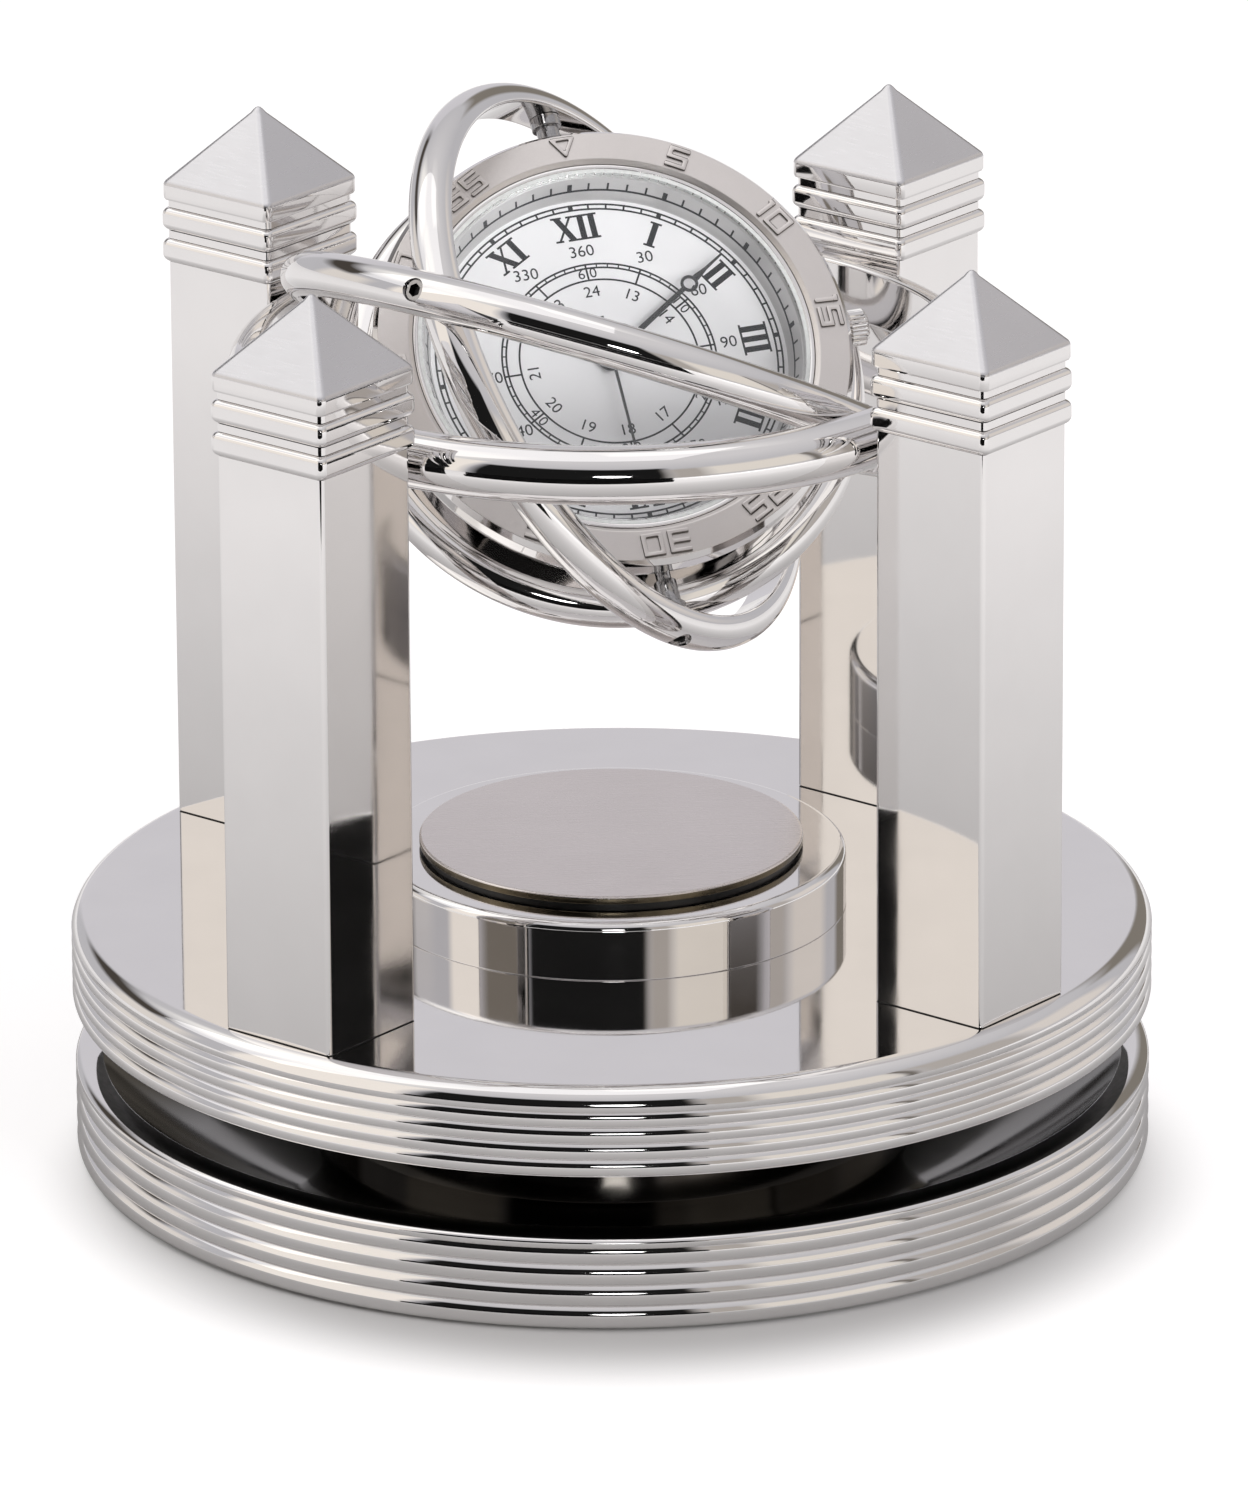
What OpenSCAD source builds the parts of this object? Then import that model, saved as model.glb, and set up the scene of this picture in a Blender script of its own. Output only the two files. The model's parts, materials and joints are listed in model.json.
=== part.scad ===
// Gimbal clock: a desk clock whose head hangs in nested rings
// between four square columns on a revolving ribbed base.
// The origin is at the middle of the underside, +Z is up.

/* [Base] */
// Outer diameter of the ribbed turntable disc
disc_d = 115; // [114:0.5:118]
// Outer diameter of the ribbed foot ring
foot_d = 114.6; // [114:0.2:116]
// Height of the top of the foot ring
foot_top = 10.7; // [10:0.1:11.2]
// Height of the underside of the turntable disc
disc_low = 17.2; // [17:0.1:18]
// Height of the mirror top of the turntable disc
disc_top = 26.7; // [26:0.1:28]
// Diameter of the plinth in the middle
plinth_d = 50; // [46:0.5:52]
// Height of the plinth
plinth_h = 6.4; // [5:0.1:8]
// Diameter of the bare plate on the plinth
plate_d = 40.8; // [36:0.2:43]

/* [Columns] */
// Distance from the centre to each column's axis
column_ring = 47.9; // [47.6:0.1:48.2]
// Width of the square columns
column_w = 14; // [13:0.1:14]
// Height of the top of the columns
column_top = 89.1; // [88:0.1:92]
// Width of the two ribs round each capital
capital_w = 15.2; // [15:0.1:16]
// Height of the pyramid on each capital
pyramid_h = 8.1; // [6:0.1:10]

/* [Rings] */
// Height of the common centre of the rings
centre_z = 86.3; // [85.5:0.1:87]
// Outer radius of the fixed ring
fixed_r = 40; // [39.8:0.1:40.2]
// Height of the fixed ring's section
fixed_h = 6.2; // [5.5:0.1:6.6]
// Outer radius of the first swinging ring
first_r = 35.8; // [35.6:0.1:35.9]
// Outer radius of the second swinging ring
second_r = 32.5; // [32.3:0.1:32.6]
// Height of the swinging rings' section
swing_h = 4.8; // [4.4:0.1:5]
// Outer radius of the cradle ring round the clock
cradle_r = 27.9; // [27.5:0.1:28]

/* [Resting pose] */
// Tilt of the first ring on the fixed ring
first_turn = 27; // [0:1:60]
// Turn of the second ring in the first
second_turn = 126; // [90:1:150]
// Turn of the clock in the second ring
clock_turn = 137; // [100:1:160]
// Minutes that the hands show
shown_minutes = 9.25; // [0:0.25:59]
// Hour that the hands show
shown_hour = 10; // [0:1:11]

/* [Clock head] */
// Outer diameter of the turning bezel
bezel_d = 50.8; // [50:0.2:51.4]
// Height of the bezel's top over the ring centre
bezel_top = 5.2; // [5:0.1:5.6]
// Diameter of the crystal
crystal_d = 40.6; // [40:0.1:40.6]
// Height of the dial's face over the ring centre
dial_z = 0.8; // [0.7:0.1:0.9]
// Diameter of the dial
dial_d = 40.4; // [39:0.1:40.8]
// Diameter of the crown
crown_d = 4; // [3.6:0.1:4]

/* [Hidden] */

$fn = 96;
// Overlap that makes a cut run clear of a face
cut = 0.1;
// Radial gap of a turning fit and of a screw in its hole
run = 0.03;
slack = 0.05;

// Base heights and radii
pad_h = 1.4;
foot_low = 0.4;
dish_floor = 3;
washer_h = 0.8;
pedestal_top = disc_low - washer_h;
plinth_top = disc_top + plinth_h;
plate_h = 1.3;
pad_r = 50;
hub_r = 32;
hub_top_r = 29;
dish_rim_r = 54.4;
nut_pocket_r = 9;
nut_pocket_top = 9;
bush_r = 6;
spindle_r = 4;
spindle_thread_r = 3;
spindle_depth = 7;
washer_in = 15;
foot_roll_r = 0.9;
disc_edge_r = 2.2;
disc_roll_r = 1.2;
disc_roll_drop = 1.8;
plinth_edge_r = 0.6;
screw_r = 1.5;
pedestal_screw_ring = 20;
plinth_screw_ring = 10.5;
plinth_screw_head_r = 2.7;
column_screw_head_r = 3.5;
column_screw_head_h = 4;

// Columns stand on the diagonals, with their faces square to the centre
column_inner = column_ring - column_w / 2;
pin_depth = 3;
capital_rib_h = 2.6;
capital_rib2_h = 2.9;
capital_gap = 0.3;
capital_neck_h = 0.8;
capital_skirt_h = 2.15;
capital_skirt_w = 14.75;
stud_r = 2;

// Ring sections: a flat inner face and a half-round outside
pin_r = 0.8;
pin_shank_r = 1.25;
screw_sunk = 0.4;
pin_socket_r = 0.75;
pin_socket_h = 0.9;
swing_wall = 3;
// The second ring's pins have a collar, short of its round inner face
collar_r = 1.6;
collar_gap = 0.08;
first_in = first_r - swing_wall + 0.15;
second_in = second_r - swing_wall;
cradle_in = cradle_r - swing_wall;
fixed_in = fixed_r - 3.8;

// Clock head, measured along its own axis from the ring centre
case_r = 23.6;
case_flange_r = 24.9;
case_flange_top = 2.2;
case_low = -6.2;
case_bore = 20.7;
neck_r = 21.2;
neck_top = 4.9;
bezel_low = 2.3;
bezel_bore = neck_r + slack;
wire_z = 2.9;
wire_r = 0.2;
crystal_low = 3.95;
crystal_h = 1;
dial_h = 0.4;
holder_r = 20.5;
movement_r = 12.8;
holder_low = -4.5;
back_plug_top = -4.9;
movement_low = -4.4;
movement_top = -0.2;
cradle_z = -4.8;
cradle_low = cradle_z - swing_h / 2;
cradle_screw_ring = 22.9;
cradle_hole_r = 0.5;
lip_in = 22.1;
crown_z = -0.15;
crown_in = 25.95;
crown_len = 2.3;
stem_r = 0.35;
tube_r = 0.8;
lever_x = 8;
lever_t = 0.6;
battery_at = [-5, -4.5];

// Hands: clock angles and the heights of their blades
minute_angle = 6 * shown_minutes;
hour_angle = 30 * (shown_hour + shown_minutes / 60);
second_angle = 180;
blade_h = 0.22;
hour_z = dial_z + 0.45;
minute_z = dial_z + 0.95;
second_z = dial_z + 1.45;
hour_pipe_r = 0.78;
minute_pipe_r = 0.48;
second_pin_r = 0.18;
pipe_low = -2.2;
ring_line = 0.3;

// Frames of the rings: each is turned inside the one before
module at_first() {
    translate([0, 0, centre_z]) rotate([first_turn, 0, 135]) children();
}

module at_second() {
    at_first() rotate([0, second_turn, 0]) children();
}

// The clock's frame: X to 3 o'clock, Y to 12 o'clock, Z out of the dial
module at_clock() {
    at_second() rotate([clock_turn, 0, 0]) rotate([90, -90, 0]) children();
}

// Places one thing on each of the four diagonals, front left first
module on_diagonal(i) {
    rotate([0, 0, 225 + 90 * i]) translate([column_ring, 0, 0]) children();
}

module on_all_diagonals() {
    for (i = [0:3]) on_diagonal(i) children();
}

// A bar of circular section along the X axis
module x_bar(r, from, to) {
    translate([from, 0, 0]) rotate([0, 90, 0]) cylinder(r = r, h = to - from);
}

// A square with round corners
module rounded_square(w, r) {
    square([w, w - 2 * r], center = true);
    square([w - 2 * r, w], center = true);
    for (x = [-1, 1], y = [-1, 1])
        translate([x * (w / 2 - r), y * (w / 2 - r)]) circle(r = r, $fn = 32);
}

// A ring of D section: flat inside, half-round outside
module d_ring(r_in, r_out, h) {
    rotate_extrude($fn = 180) {
        translate([r_in, -h / 2]) square([r_out - r_in - h / 2, h]);
        intersection() {
            translate([r_out - h / 2, 0]) circle(r = h / 2);
            translate([r_in, -h / 2]) square([r_out - r_in, h]);
        }
    }
}

// A ribbed edge: round ribs of one pitch stacked between two heights
module rib_stack(r, low, high, count) {
    pitch = (high - low) / count;
    rib_r = pitch * 0.62;
    intersection() {
        union() for (i = [0:count - 1])
            translate([r - rib_r, low + pitch * (i + 0.5)]) circle(r = rib_r);
        translate([r - 1, low]) square([1, high - low]);
    }
}

// A cap screw with a hexagon socket, head down at the origin, shank up
module cap_screw(head_r, head_h, shank_r, length) {
    difference() {
        union() {
            cylinder(r = head_r, h = head_h);
            cylinder(r = shank_r, h = head_h + length);
        }
        translate([0, 0, -cut]) cylinder(r = head_r * 0.5, h = head_h * 0.6 + cut, $fn = 6);
    }
}

// A countersunk screw, head down at the origin, shank up
module flat_screw(head_r, shank_r, length) {
    difference() {
        union() {
            cylinder(r1 = head_r, r2 = shank_r, h = head_r - shank_r);
            cylinder(r = shank_r, h = length);
        }
        translate([-head_r * 0.7, -0.3, -cut]) cube([head_r * 1.4, 0.6, 0.5 + cut]);
    }
}

// The three screws that hold the pedestal
module on_pedestal_screws() {
    for (i = [0:2]) rotate([0, 0, 120 * i + 30]) translate([pedestal_screw_ring, 0, 0]) children();
}

// The two screws that hold the plinth
module on_plinth_screws() {
    for (a = [0, 180]) rotate([0, 0, a]) translate([plinth_screw_ring, 0, 0]) children();
}

// Base, which stands still
module base_pad() {
    color("dimgray") cylinder(r = pad_r, h = pad_h);
}

module foot_ring() {
    r = foot_d / 2;
    rim = foot_roll_r;
    dish_r = (pow(dish_rim_r - hub_r - 2, 2) + pow(foot_top - dish_floor, 2)) / (2 * (foot_top - dish_floor));
    color("silver")
    difference() {
        rotate_extrude($fn = 180) difference() {
            union() {
                translate([0, foot_low]) square([r - rim, foot_top - foot_low]);
                translate([r - rim, foot_top - rim]) circle(r = rim);
                rib_stack(r, foot_low, foot_top - rim - 0.2, 4);
            }
            square([pad_r + 0.15, pad_h]);
            square([nut_pocket_r, foot_top]);
            translate([0, dish_floor]) square([hub_r + 2, foot_top]);
            intersection() {
                translate([hub_r + 2, dish_floor + dish_r]) circle(r = dish_r);
                translate([hub_r + 1, dish_floor]) square([dish_r, foot_top]);
            }
        }
        on_pedestal_screws() {
            translate([0, 0, pad_h - cut]) cylinder(r = screw_r + 0.1, h = dish_floor);
            translate([0, 0, pad_h]) cylinder(r1 = 2 * screw_r, r2 = screw_r + 0.1, h = screw_r - 0.1);
        }
    }
}

module pedestal() {
    color("silver")
    difference() {
        rotate_extrude($fn = 180) polygon([
            [bush_r, nut_pocket_top], [nut_pocket_r, nut_pocket_top], [nut_pocket_r, dish_floor],
            [hub_r, dish_floor], [hub_r, dish_floor + 1.5], [hub_top_r, pedestal_top - 1.5],
            [hub_top_r, pedestal_top], [bush_r, pedestal_top]
        ]);
        on_pedestal_screws() translate([0, 0, dish_floor - cut]) cylinder(r = screw_r, h = 8.1);
    }
}

module pedestal_screws() {
    color("gray")
    on_pedestal_screws() translate([0, 0, pad_h + slack]) flat_screw(2.85, screw_r - slack, 9);
}

module bearing_bush() {
    color("peru")
    translate([0, 0, nut_pocket_top]) difference() {
        cylinder(r = bush_r, h = pedestal_top - nut_pocket_top);
        translate([0, 0, -cut]) cylinder(r = spindle_r + run, h = pedestal_top);
    }
}

module thrust_washer() {
    color("whitesmoke")
    translate([0, 0, pedestal_top]) difference() {
        cylinder(r = hub_top_r - 1, h = washer_h);
        translate([0, 0, -cut]) cylinder(r = washer_in, h = washer_h + 2 * cut);
    }
}

// Turntable and what stands on it
module turntable_disc() {
    r = disc_d / 2;
    edge = disc_edge_r;
    roll = disc_roll_r;
    roll_z = disc_top - disc_roll_drop;
    color("gainsboro")
    difference() {
        rotate_extrude($fn = 180) {
            translate([0, disc_low]) square([r - 0.8, roll_z - disc_low]);
            translate([0, disc_low]) square([r - edge, disc_top - disc_low]);
            intersection() {
                translate([r - edge, disc_top - edge]) circle(r = edge);
                translate([0, roll_z]) square([r, edge]);
            }
            translate([r - roll, roll_z]) circle(r = roll);
            rib_stack(r, disc_low, roll_z - 0.6, 4);
        }
        translate([0, 0, disc_low - cut]) cylinder(r = spindle_r, h = spindle_depth + cut);
        on_plinth_screws() translate([0, 0, disc_low - cut]) {
            cylinder(r = screw_r, h = disc_top);
            cylinder(r = plinth_screw_head_r + 0.1, h = 3 + cut);
        }
        on_all_diagonals() translate([0, 0, disc_low - cut]) {
            cylinder(r = stud_r, h = disc_top);
            cylinder(r = column_screw_head_r + 0.2, h = column_screw_head_h + 0.1 + cut);
        }
    }
}

module plinth() {
    r = plinth_d / 2;
    edge = plinth_edge_r;
    color("silver")
    difference() {
        rotate_extrude($fn = 180) {
            translate([0, disc_top]) square([r, plinth_h - edge]);
            translate([0, disc_top]) square([r - edge, plinth_h]);
            translate([r - edge, plinth_top - edge]) circle(r = edge);
        }
        on_plinth_screws() translate([0, 0, disc_top - cut]) cylinder(r = screw_r, h = 4.6 + cut);
    }
}

module plinth_screws() {
    color("gray")
    on_plinth_screws() translate([0, 0, disc_low + 0.2])
        cap_screw(plinth_screw_head_r, 2.8, screw_r - slack, 10.5);
}

module name_plate() {
    r = plate_d / 2;
    color("lightgray")
    rotate_extrude($fn = 180) {
        translate([0, plinth_top]) square([r - plate_h / 2, plate_h]);
        intersection() {
            translate([r - plate_h / 2, plinth_top + plate_h / 2]) circle(r = plate_h / 2);
            translate([r - plate_h, plinth_top]) square([plate_h, plate_h]);
        }
    }
}

module spindle() {
    color("gray") {
        translate([0, 0, 4]) cylinder(r = spindle_thread_r, h = nut_pocket_top - 4);
        translate([0, 0, nut_pocket_top])
            cylinder(r = spindle_r, h = disc_low + spindle_depth - nut_pocket_top);
    }
}

module spindle_washer() {
    color("gray")
    translate([0, 0, nut_pocket_top - 0.9]) difference() {
        cylinder(r = 7.5, h = 0.85);
        translate([0, 0, -cut]) cylinder(r = spindle_thread_r + slack, h = 1 + cut);
    }
}

module spindle_nut() {
    color("gray")
    translate([0, 0, 4.4]) difference() {
        cylinder(r = 5.8, h = nut_pocket_top - 0.9 - 4.4, $fn = 6);
        translate([0, 0, -cut]) cylinder(r = spindle_thread_r + slack, h = 5);
    }
}

module column(i) {
    color("silver")
    on_diagonal(i) difference() {
        translate([0, 0, disc_top]) linear_extrude(column_top - disc_top) rounded_square(column_w, 0.5);
        translate([0, 0, disc_top - cut]) cylinder(r = stud_r, h = 20.2);
        translate([0, 0, column_top - 8]) cylinder(r = stud_r, h = 8 + cut);
        translate([pin_depth + cut - column_w / 2, 0, centre_z]) rotate([0, -90, 0])
            cylinder(r = pin_shank_r, h = column_w);
    }
}

module column_front_left() { column(0); }
module column_front_right() { column(1); }
module column_back_right() { column(2); }
module column_back_left() { column(3); }

// A rib with sloping faces round a square of width w
module square_rib(w, h) {
    hull() for (level = [[0, w - 1.1], [0.35, w], [0.65, w], [1, w - 1.1]])
        translate([0, 0, level[0] * (h - 0.02)]) linear_extrude(0.02) rounded_square(level[1], 1);
}

module capital(i) {
    rib2_low = capital_rib_h + capital_gap;
    neck_low = rib2_low + capital_rib2_h;
    skirt_low = neck_low + capital_neck_h;
    pyramid_low = skirt_low + capital_skirt_h;
    color("lightgray")
    on_diagonal(i) translate([0, 0, column_top]) difference() {
        union() {
            square_rib(capital_w, capital_rib_h);
            linear_extrude(skirt_low + cut) rounded_square(column_w, 0.8);
            translate([0, 0, rib2_low]) square_rib(capital_w, capital_rib2_h);
            translate([0, 0, skirt_low]) hull() {
                linear_extrude(0.02) rounded_square(capital_skirt_w - 1, 0.8);
                translate([0, 0, 0.5]) linear_extrude(capital_skirt_h - 0.5)
                    rounded_square(capital_skirt_w, 0.8);
                translate([0, 0, capital_skirt_h + pyramid_h - 0.02]) cylinder(r = 0.1, h = 0.02, $fn = 12);
            }
        }
        translate([0, 0, -cut]) cylinder(r = stud_r, h = 8 + cut);
    }
}

module capital_front_left() { capital(0); }
module capital_front_right() { capital(1); }
module capital_back_right() { capital(2); }
module capital_back_left() { capital(3); }

module column_screws() {
    color("gray")
    on_all_diagonals() translate([0, 0, disc_low + 0.1])
        cap_screw(column_screw_head_r, column_screw_head_h, stud_r - slack, 25);
}

module capital_studs() {
    color("gray")
    on_all_diagonals() translate([0, 0, column_top - 7.5]) cylinder(r = stud_r - slack, h = 15);
}

// Gimbal rings and pivots
module fixed_ring() {
    color("silver")
    translate([0, 0, centre_z]) difference() {
        d_ring(fixed_in, fixed_r, fixed_h);
        for (a = [45:90:315]) rotate([0, 0, a]) x_bar(pin_shank_r, fixed_in - 1, fixed_r + 1);
    }
}

module ring_dowels() {
    color("silver")
    for (a = [45, 225]) rotate([0, 0, a]) translate([0, 0, centre_z])
        x_bar(pin_shank_r - slack, fixed_in + 0.6, column_inner + pin_depth);
}

module fixed_pivots() {
    color("silver")
    for (a = [135, 315]) rotate([0, 0, a]) translate([0, 0, centre_z]) {
        x_bar(pin_shank_r - slack, fixed_in + 0.1, column_inner + pin_depth);
        x_bar(pin_r, first_r - 2, fixed_in + 0.2);
    }
}

// A socket screw sunk in a ring wall, its tip in the next ring inside
module pivot_screw(outer_r, shank_to, tip_to) {
    difference() {
        union() {
            x_bar(pin_shank_r - slack, shank_to, outer_r - screw_sunk);
            x_bar(pin_r, tip_to, shank_to + 0.1);
        }
        translate([outer_r - screw_sunk + cut, 0, 0]) rotate([0, -90, 0])
            cylinder(r = pin_socket_r, h = pin_socket_h, $fn = 6);
    }
}

module pivot_screw_holes(outer_r, inner_r) {
    for (a = [0, 180]) rotate([0, 0, a]) x_bar(pin_shank_r, inner_r - 1, outer_r + 1);
}

module pivot_bores(outer_r) {
    for (a = [0, 180]) rotate([0, 0, a]) x_bar(pin_r + run, outer_r - 2.2, outer_r + 1);
}

module first_ring() {
    color("silver")
    at_first() difference() {
        d_ring(first_in, first_r, swing_h);
        pivot_bores(first_r);
        rotate([0, 0, 90]) pivot_screw_holes(first_r, first_in);
    }
}

module first_pivots() {
    color("gray")
    at_first() for (a = [90, 270]) rotate([0, 0, a])
        pivot_screw(first_r, first_in + 0.1, second_r - 2);
}

module second_ring() {
    color("silver")
    at_second() difference() {
        d_ring(second_in, second_r, swing_h);
        rotate([0, 0, 90]) pivot_bores(second_r);
        pivot_screw_holes(second_r, second_in);
    }
}

module second_pivots() {
    color("gray")
    at_second() for (a = [0, 180]) rotate([0, 0, a]) {
        pivot_screw(second_r, second_in, case_r - 1.4);
        difference() {
            union() {
                x_bar(collar_r, second_in - 1.3, second_in - collar_gap);
                x_bar(pin_shank_r, cradle_in + 0.5, second_in - 1.2);
            }
            x_bar(pin_r, cradle_in, second_in + 1);
        }
    }
}

// The three screws between cradle ring and case
module on_cradle_screws() {
    for (i = [0:2]) rotate([0, 0, 90 + 120 * i]) translate([cradle_screw_ring, 0, 0]) children();
}

// Clock head
module cradle_ring() {
    color("silver")
    at_clock() difference() {
        union() {
            translate([0, 0, cradle_z]) d_ring(cradle_in, cradle_r, swing_h);
            translate([0, 0, cradle_low]) difference() {
                cylinder(r = cradle_in + 0.3, h = 1);
                translate([0, 0, -cut]) cylinder(r = lip_in, h = 1 + 2 * cut);
            }
        }
        on_cradle_screws() translate([0, 0, cradle_low - 0.8]) cylinder(r = cradle_hole_r, h = 3);
    }
}

module cradle_screws() {
    color("gray")
    at_clock() on_cradle_screws() translate([0, 0, cradle_low - 0.5]) difference() {
        union() {
            cylinder(r = 0.75, h = 0.5);
            cylinder(r = cradle_hole_r - slack, h = 3);
        }
        translate([-0.8, -0.12, -cut]) cube([1.6, 0.24, 0.2 + cut]);
    }
}

module case() {
    color("silver")
    at_clock() difference() {
        rotate_extrude($fn = 180) polygon([
            [case_bore, case_low], [case_r, case_low], [case_r, -1.6], [case_flange_r - 0.3, 0.7],
            [case_flange_r, 1.2], [case_flange_r, case_flange_top], [neck_r, case_flange_top],
            [neck_r, wire_z - 0.25], [neck_r - 0.2, wire_z - 0.25], [neck_r - 0.2, wire_z + 0.25],
            [neck_r, wire_z + 0.25], [neck_r, neck_top], [case_bore, neck_top]
        ]);
        for (a = [90, 270]) rotate([0, 0, a]) x_bar(pin_r + run, case_r - 1.6, case_r + 3);
        translate([0, 0, crown_z]) x_bar(tube_r, case_bore - 1, case_r + 3);
        on_cradle_screws() translate([0, 0, case_low - cut]) cylinder(r = cradle_hole_r, h = 2);
    }
}

module case_back() {
    color("silver")
    at_clock() rotate_extrude($fn = 180) polygon([
        [0, back_plug_top], [case_bore - 0.1, back_plug_top], [case_bore - 0.1, case_low],
        [21.8, case_low], [21.8, case_low - 0.9], [20.5, case_low - 1.5], [0, case_low - 1.8]
    ]);
}

module back_gasket() {
    color("black")
    at_clock() translate([0, 0, back_plug_top]) difference() {
        cylinder(r = holder_r, h = holder_low - back_plug_top);
        translate([0, 0, -cut]) cylinder(r = 18.8, h = 1);
    }
}

// Room for the stem and its lever, open towards the dial
module stem_slot() {
    translate([7, -0.55, crown_z - 0.55]) cube([holder_r, 1.1, 2]);
    translate([7, -1.5, crown_z - 1.1]) cube([3.4, 3, 3]);
}

module movement_holder() {
    color("white")
    at_clock() difference() {
        translate([0, 0, holder_low]) cylinder(r = holder_r, h = dial_z - dial_h - holder_low);
        translate([0, 0, holder_low - cut])
            cylinder(r = movement_r + 0.1, h = movement_top + cut - holder_low);
        translate([0, 0, -1]) cylinder(r = 2.5, h = 2);
        stem_slot();
    }
}

module movement() {
    color("goldenrod")
    at_clock() difference() {
        translate([0, 0, movement_low]) cylinder(r = movement_r, h = movement_top - movement_low);
        translate([0, 0, pipe_low - 0.2]) cylinder(r = hour_pipe_r + run, h = 3);
        translate([battery_at[0], battery_at[1], movement_low - cut]) cylinder(r = 4.9, h = 2.3 + cut);
        stem_slot();
    }
}

module battery() {
    color("silver")
    at_clock() translate([battery_at[0], battery_at[1], movement_low]) cylinder(r = 4.75, h = 2.1);
}

module dial() {
    color("white")
    at_clock() translate([0, 0, dial_z - dial_h]) difference() {
        cylinder(r = dial_d / 2, h = dial_h);
        translate([0, 0, -cut]) cylinder(r = 0.95, h = 1);
    }
}

module tick_flange() {
    color("gainsboro")
    at_clock() rotate_extrude($fn = 180) polygon([
        [18.9, dial_z], [case_bore - 0.1, dial_z], [case_bore - 0.1, crystal_low - 0.05],
        [20, crystal_low - 0.05]
    ]);
}

module crystal() {
    color("lightblue", 0.35)
    at_clock() translate([0, 0, crystal_low]) cylinder(r = crystal_d / 2, h = crystal_h);
}

module crystal_gasket() {
    color("whitesmoke")
    at_clock() translate([0, 0, crystal_low]) difference() {
        cylinder(r = case_bore, h = crystal_h - 0.1);
        translate([0, 0, -cut]) cylinder(r = crystal_d / 2, h = 2);
    }
}

module bezel() {
    r = bezel_d / 2;
    color("silver")
    at_clock() rotate_extrude($fn = 180) polygon([
            [bezel_bore, bezel_low], [r - 0.3, bezel_low], [r, bezel_low + 0.3],
            [r, bezel_top - 1], [r - 0.5, bezel_top - 0.5], [bezel_bore + 0.5, bezel_top],
            [bezel_bore, bezel_top - 0.2], [bezel_bore, wire_z + 0.25], [bezel_bore + 0.3, wire_z + 0.25],
            [bezel_bore + 0.3, wire_z - 0.25], [bezel_bore, wire_z - 0.25]
    ]);
}

// A split wire ring that holds the bezel on the case
module bezel_wire() {
    color("gray")
    at_clock() translate([0, 0, wire_z]) difference() {
        rotate_extrude($fn = 180) translate([neck_r + 0.01, 0]) circle(r = wire_r, $fn = 24);
        translate([-25, -0.75, -1]) cube([10, 1.5, 2]);
    }
}

module crown_tube() {
    color("silver")
    at_clock() translate([0, 0, crown_z]) difference() {
        x_bar(tube_r, case_bore + 0.2, 25.4);
        x_bar(stem_r + run, case_bore, 26);
    }
}

// The lever that the stem draws out and pushes in
module setting_lever() {
    color("goldenrod")
    at_clock() difference() {
        translate([lever_x, -1.2, crown_z - 0.9]) cube([lever_t, 2.4, 1.35]);
        translate([0, 0, crown_z]) x_bar(stem_r + run, lever_x - 1, lever_x + 2);
    }
}

module crown_stem() {
    color("gray")
    at_clock() translate([0, 0, crown_z]) {
        x_bar(stem_r, lever_x - 0.5, crown_in + 1.2);
        x_bar(0.5, lever_x - 0.3, lever_x - 0.05);
        x_bar(0.5, lever_x + lever_t + 0.05, lever_x + lever_t + 0.3);
    }
}

// The knurled crown
module crown() {
    grooves = 24;
    r = crown_d / 2;
    color("silver")
    at_clock() translate([0, 0, crown_z]) difference() {
        union() {
            x_bar(r, crown_in + 0.2, crown_in + crown_len - 0.4);
            x_bar(r - 0.3, crown_in, crown_in + crown_len);
        }
        x_bar(stem_r, crown_in - 1, crown_in + 1.2);
        for (i = [0:grooves - 1]) rotate([i * 360 / grooves, 0, 0])
            translate([crown_in + 0.1, 0, r]) rotate([45, 0, 0])
                translate([0, -0.13, -0.13]) cube([crown_len - 0.4, 0.26, 0.26]);
    }
}

// A hand's boss and pipe round the middle of the dial
module hand_pipe(outer_r, inner_r, from, to, boss_r, boss_z) {
    difference() {
        union() {
            translate([0, 0, from]) cylinder(r = outer_r, h = to - from);
            translate([0, 0, boss_z]) cylinder(r = boss_r, h = blade_h);
        }
        if (inner_r > 0) translate([0, 0, from - cut]) cylinder(r = inner_r, h = 6);
    }
}

// A blade with an open ring near its tip, pointing to 12
module ringed_blade(width, ring_at, ring_r, tip, from) {
    difference() {
        union() {
            translate([-width / 2, from]) square([width, ring_at - ring_r * 0.9 - from]);
            translate([0, ring_at]) circle(r = ring_r, $fn = 32);
            polygon([
                [-width / 2, ring_at + ring_r * 0.8], [width / 2, ring_at + ring_r * 0.8],
                [0.08, tip], [-0.08, tip]
            ]);
        }
        translate([0, ring_at]) circle(r = ring_r - ring_line, $fn = 32);
    }
}

module hour_hand() {
    color("black")
    at_clock() rotate([0, 0, -hour_angle]) {
        hand_pipe(hour_pipe_r, minute_pipe_r + run, pipe_low, hour_z + blade_h, 1.4, hour_z);
        translate([0, 0, hour_z]) linear_extrude(blade_h) ringed_blade(0.7, 7.6, 1.05, 11.4, 1);
    }
}

module minute_hand() {
    color("black")
    at_clock() rotate([0, 0, -minute_angle]) {
        hand_pipe(minute_pipe_r, second_pin_r + run, pipe_low, minute_z + blade_h, 1.1, minute_z);
        translate([0, 0, minute_z]) linear_extrude(blade_h) ringed_blade(0.65, 12.3, 0.95, 17.4, 0.7);
    }
}

module second_hand() {
    color("black")
    at_clock() rotate([0, 0, -second_angle]) {
        hand_pipe(second_pin_r, 0, pipe_low, second_z + blade_h, 0.7, second_z);
        translate([-0.13, -4.5, second_z]) cube([0.26, 19, blade_h]);
    }
}

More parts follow.
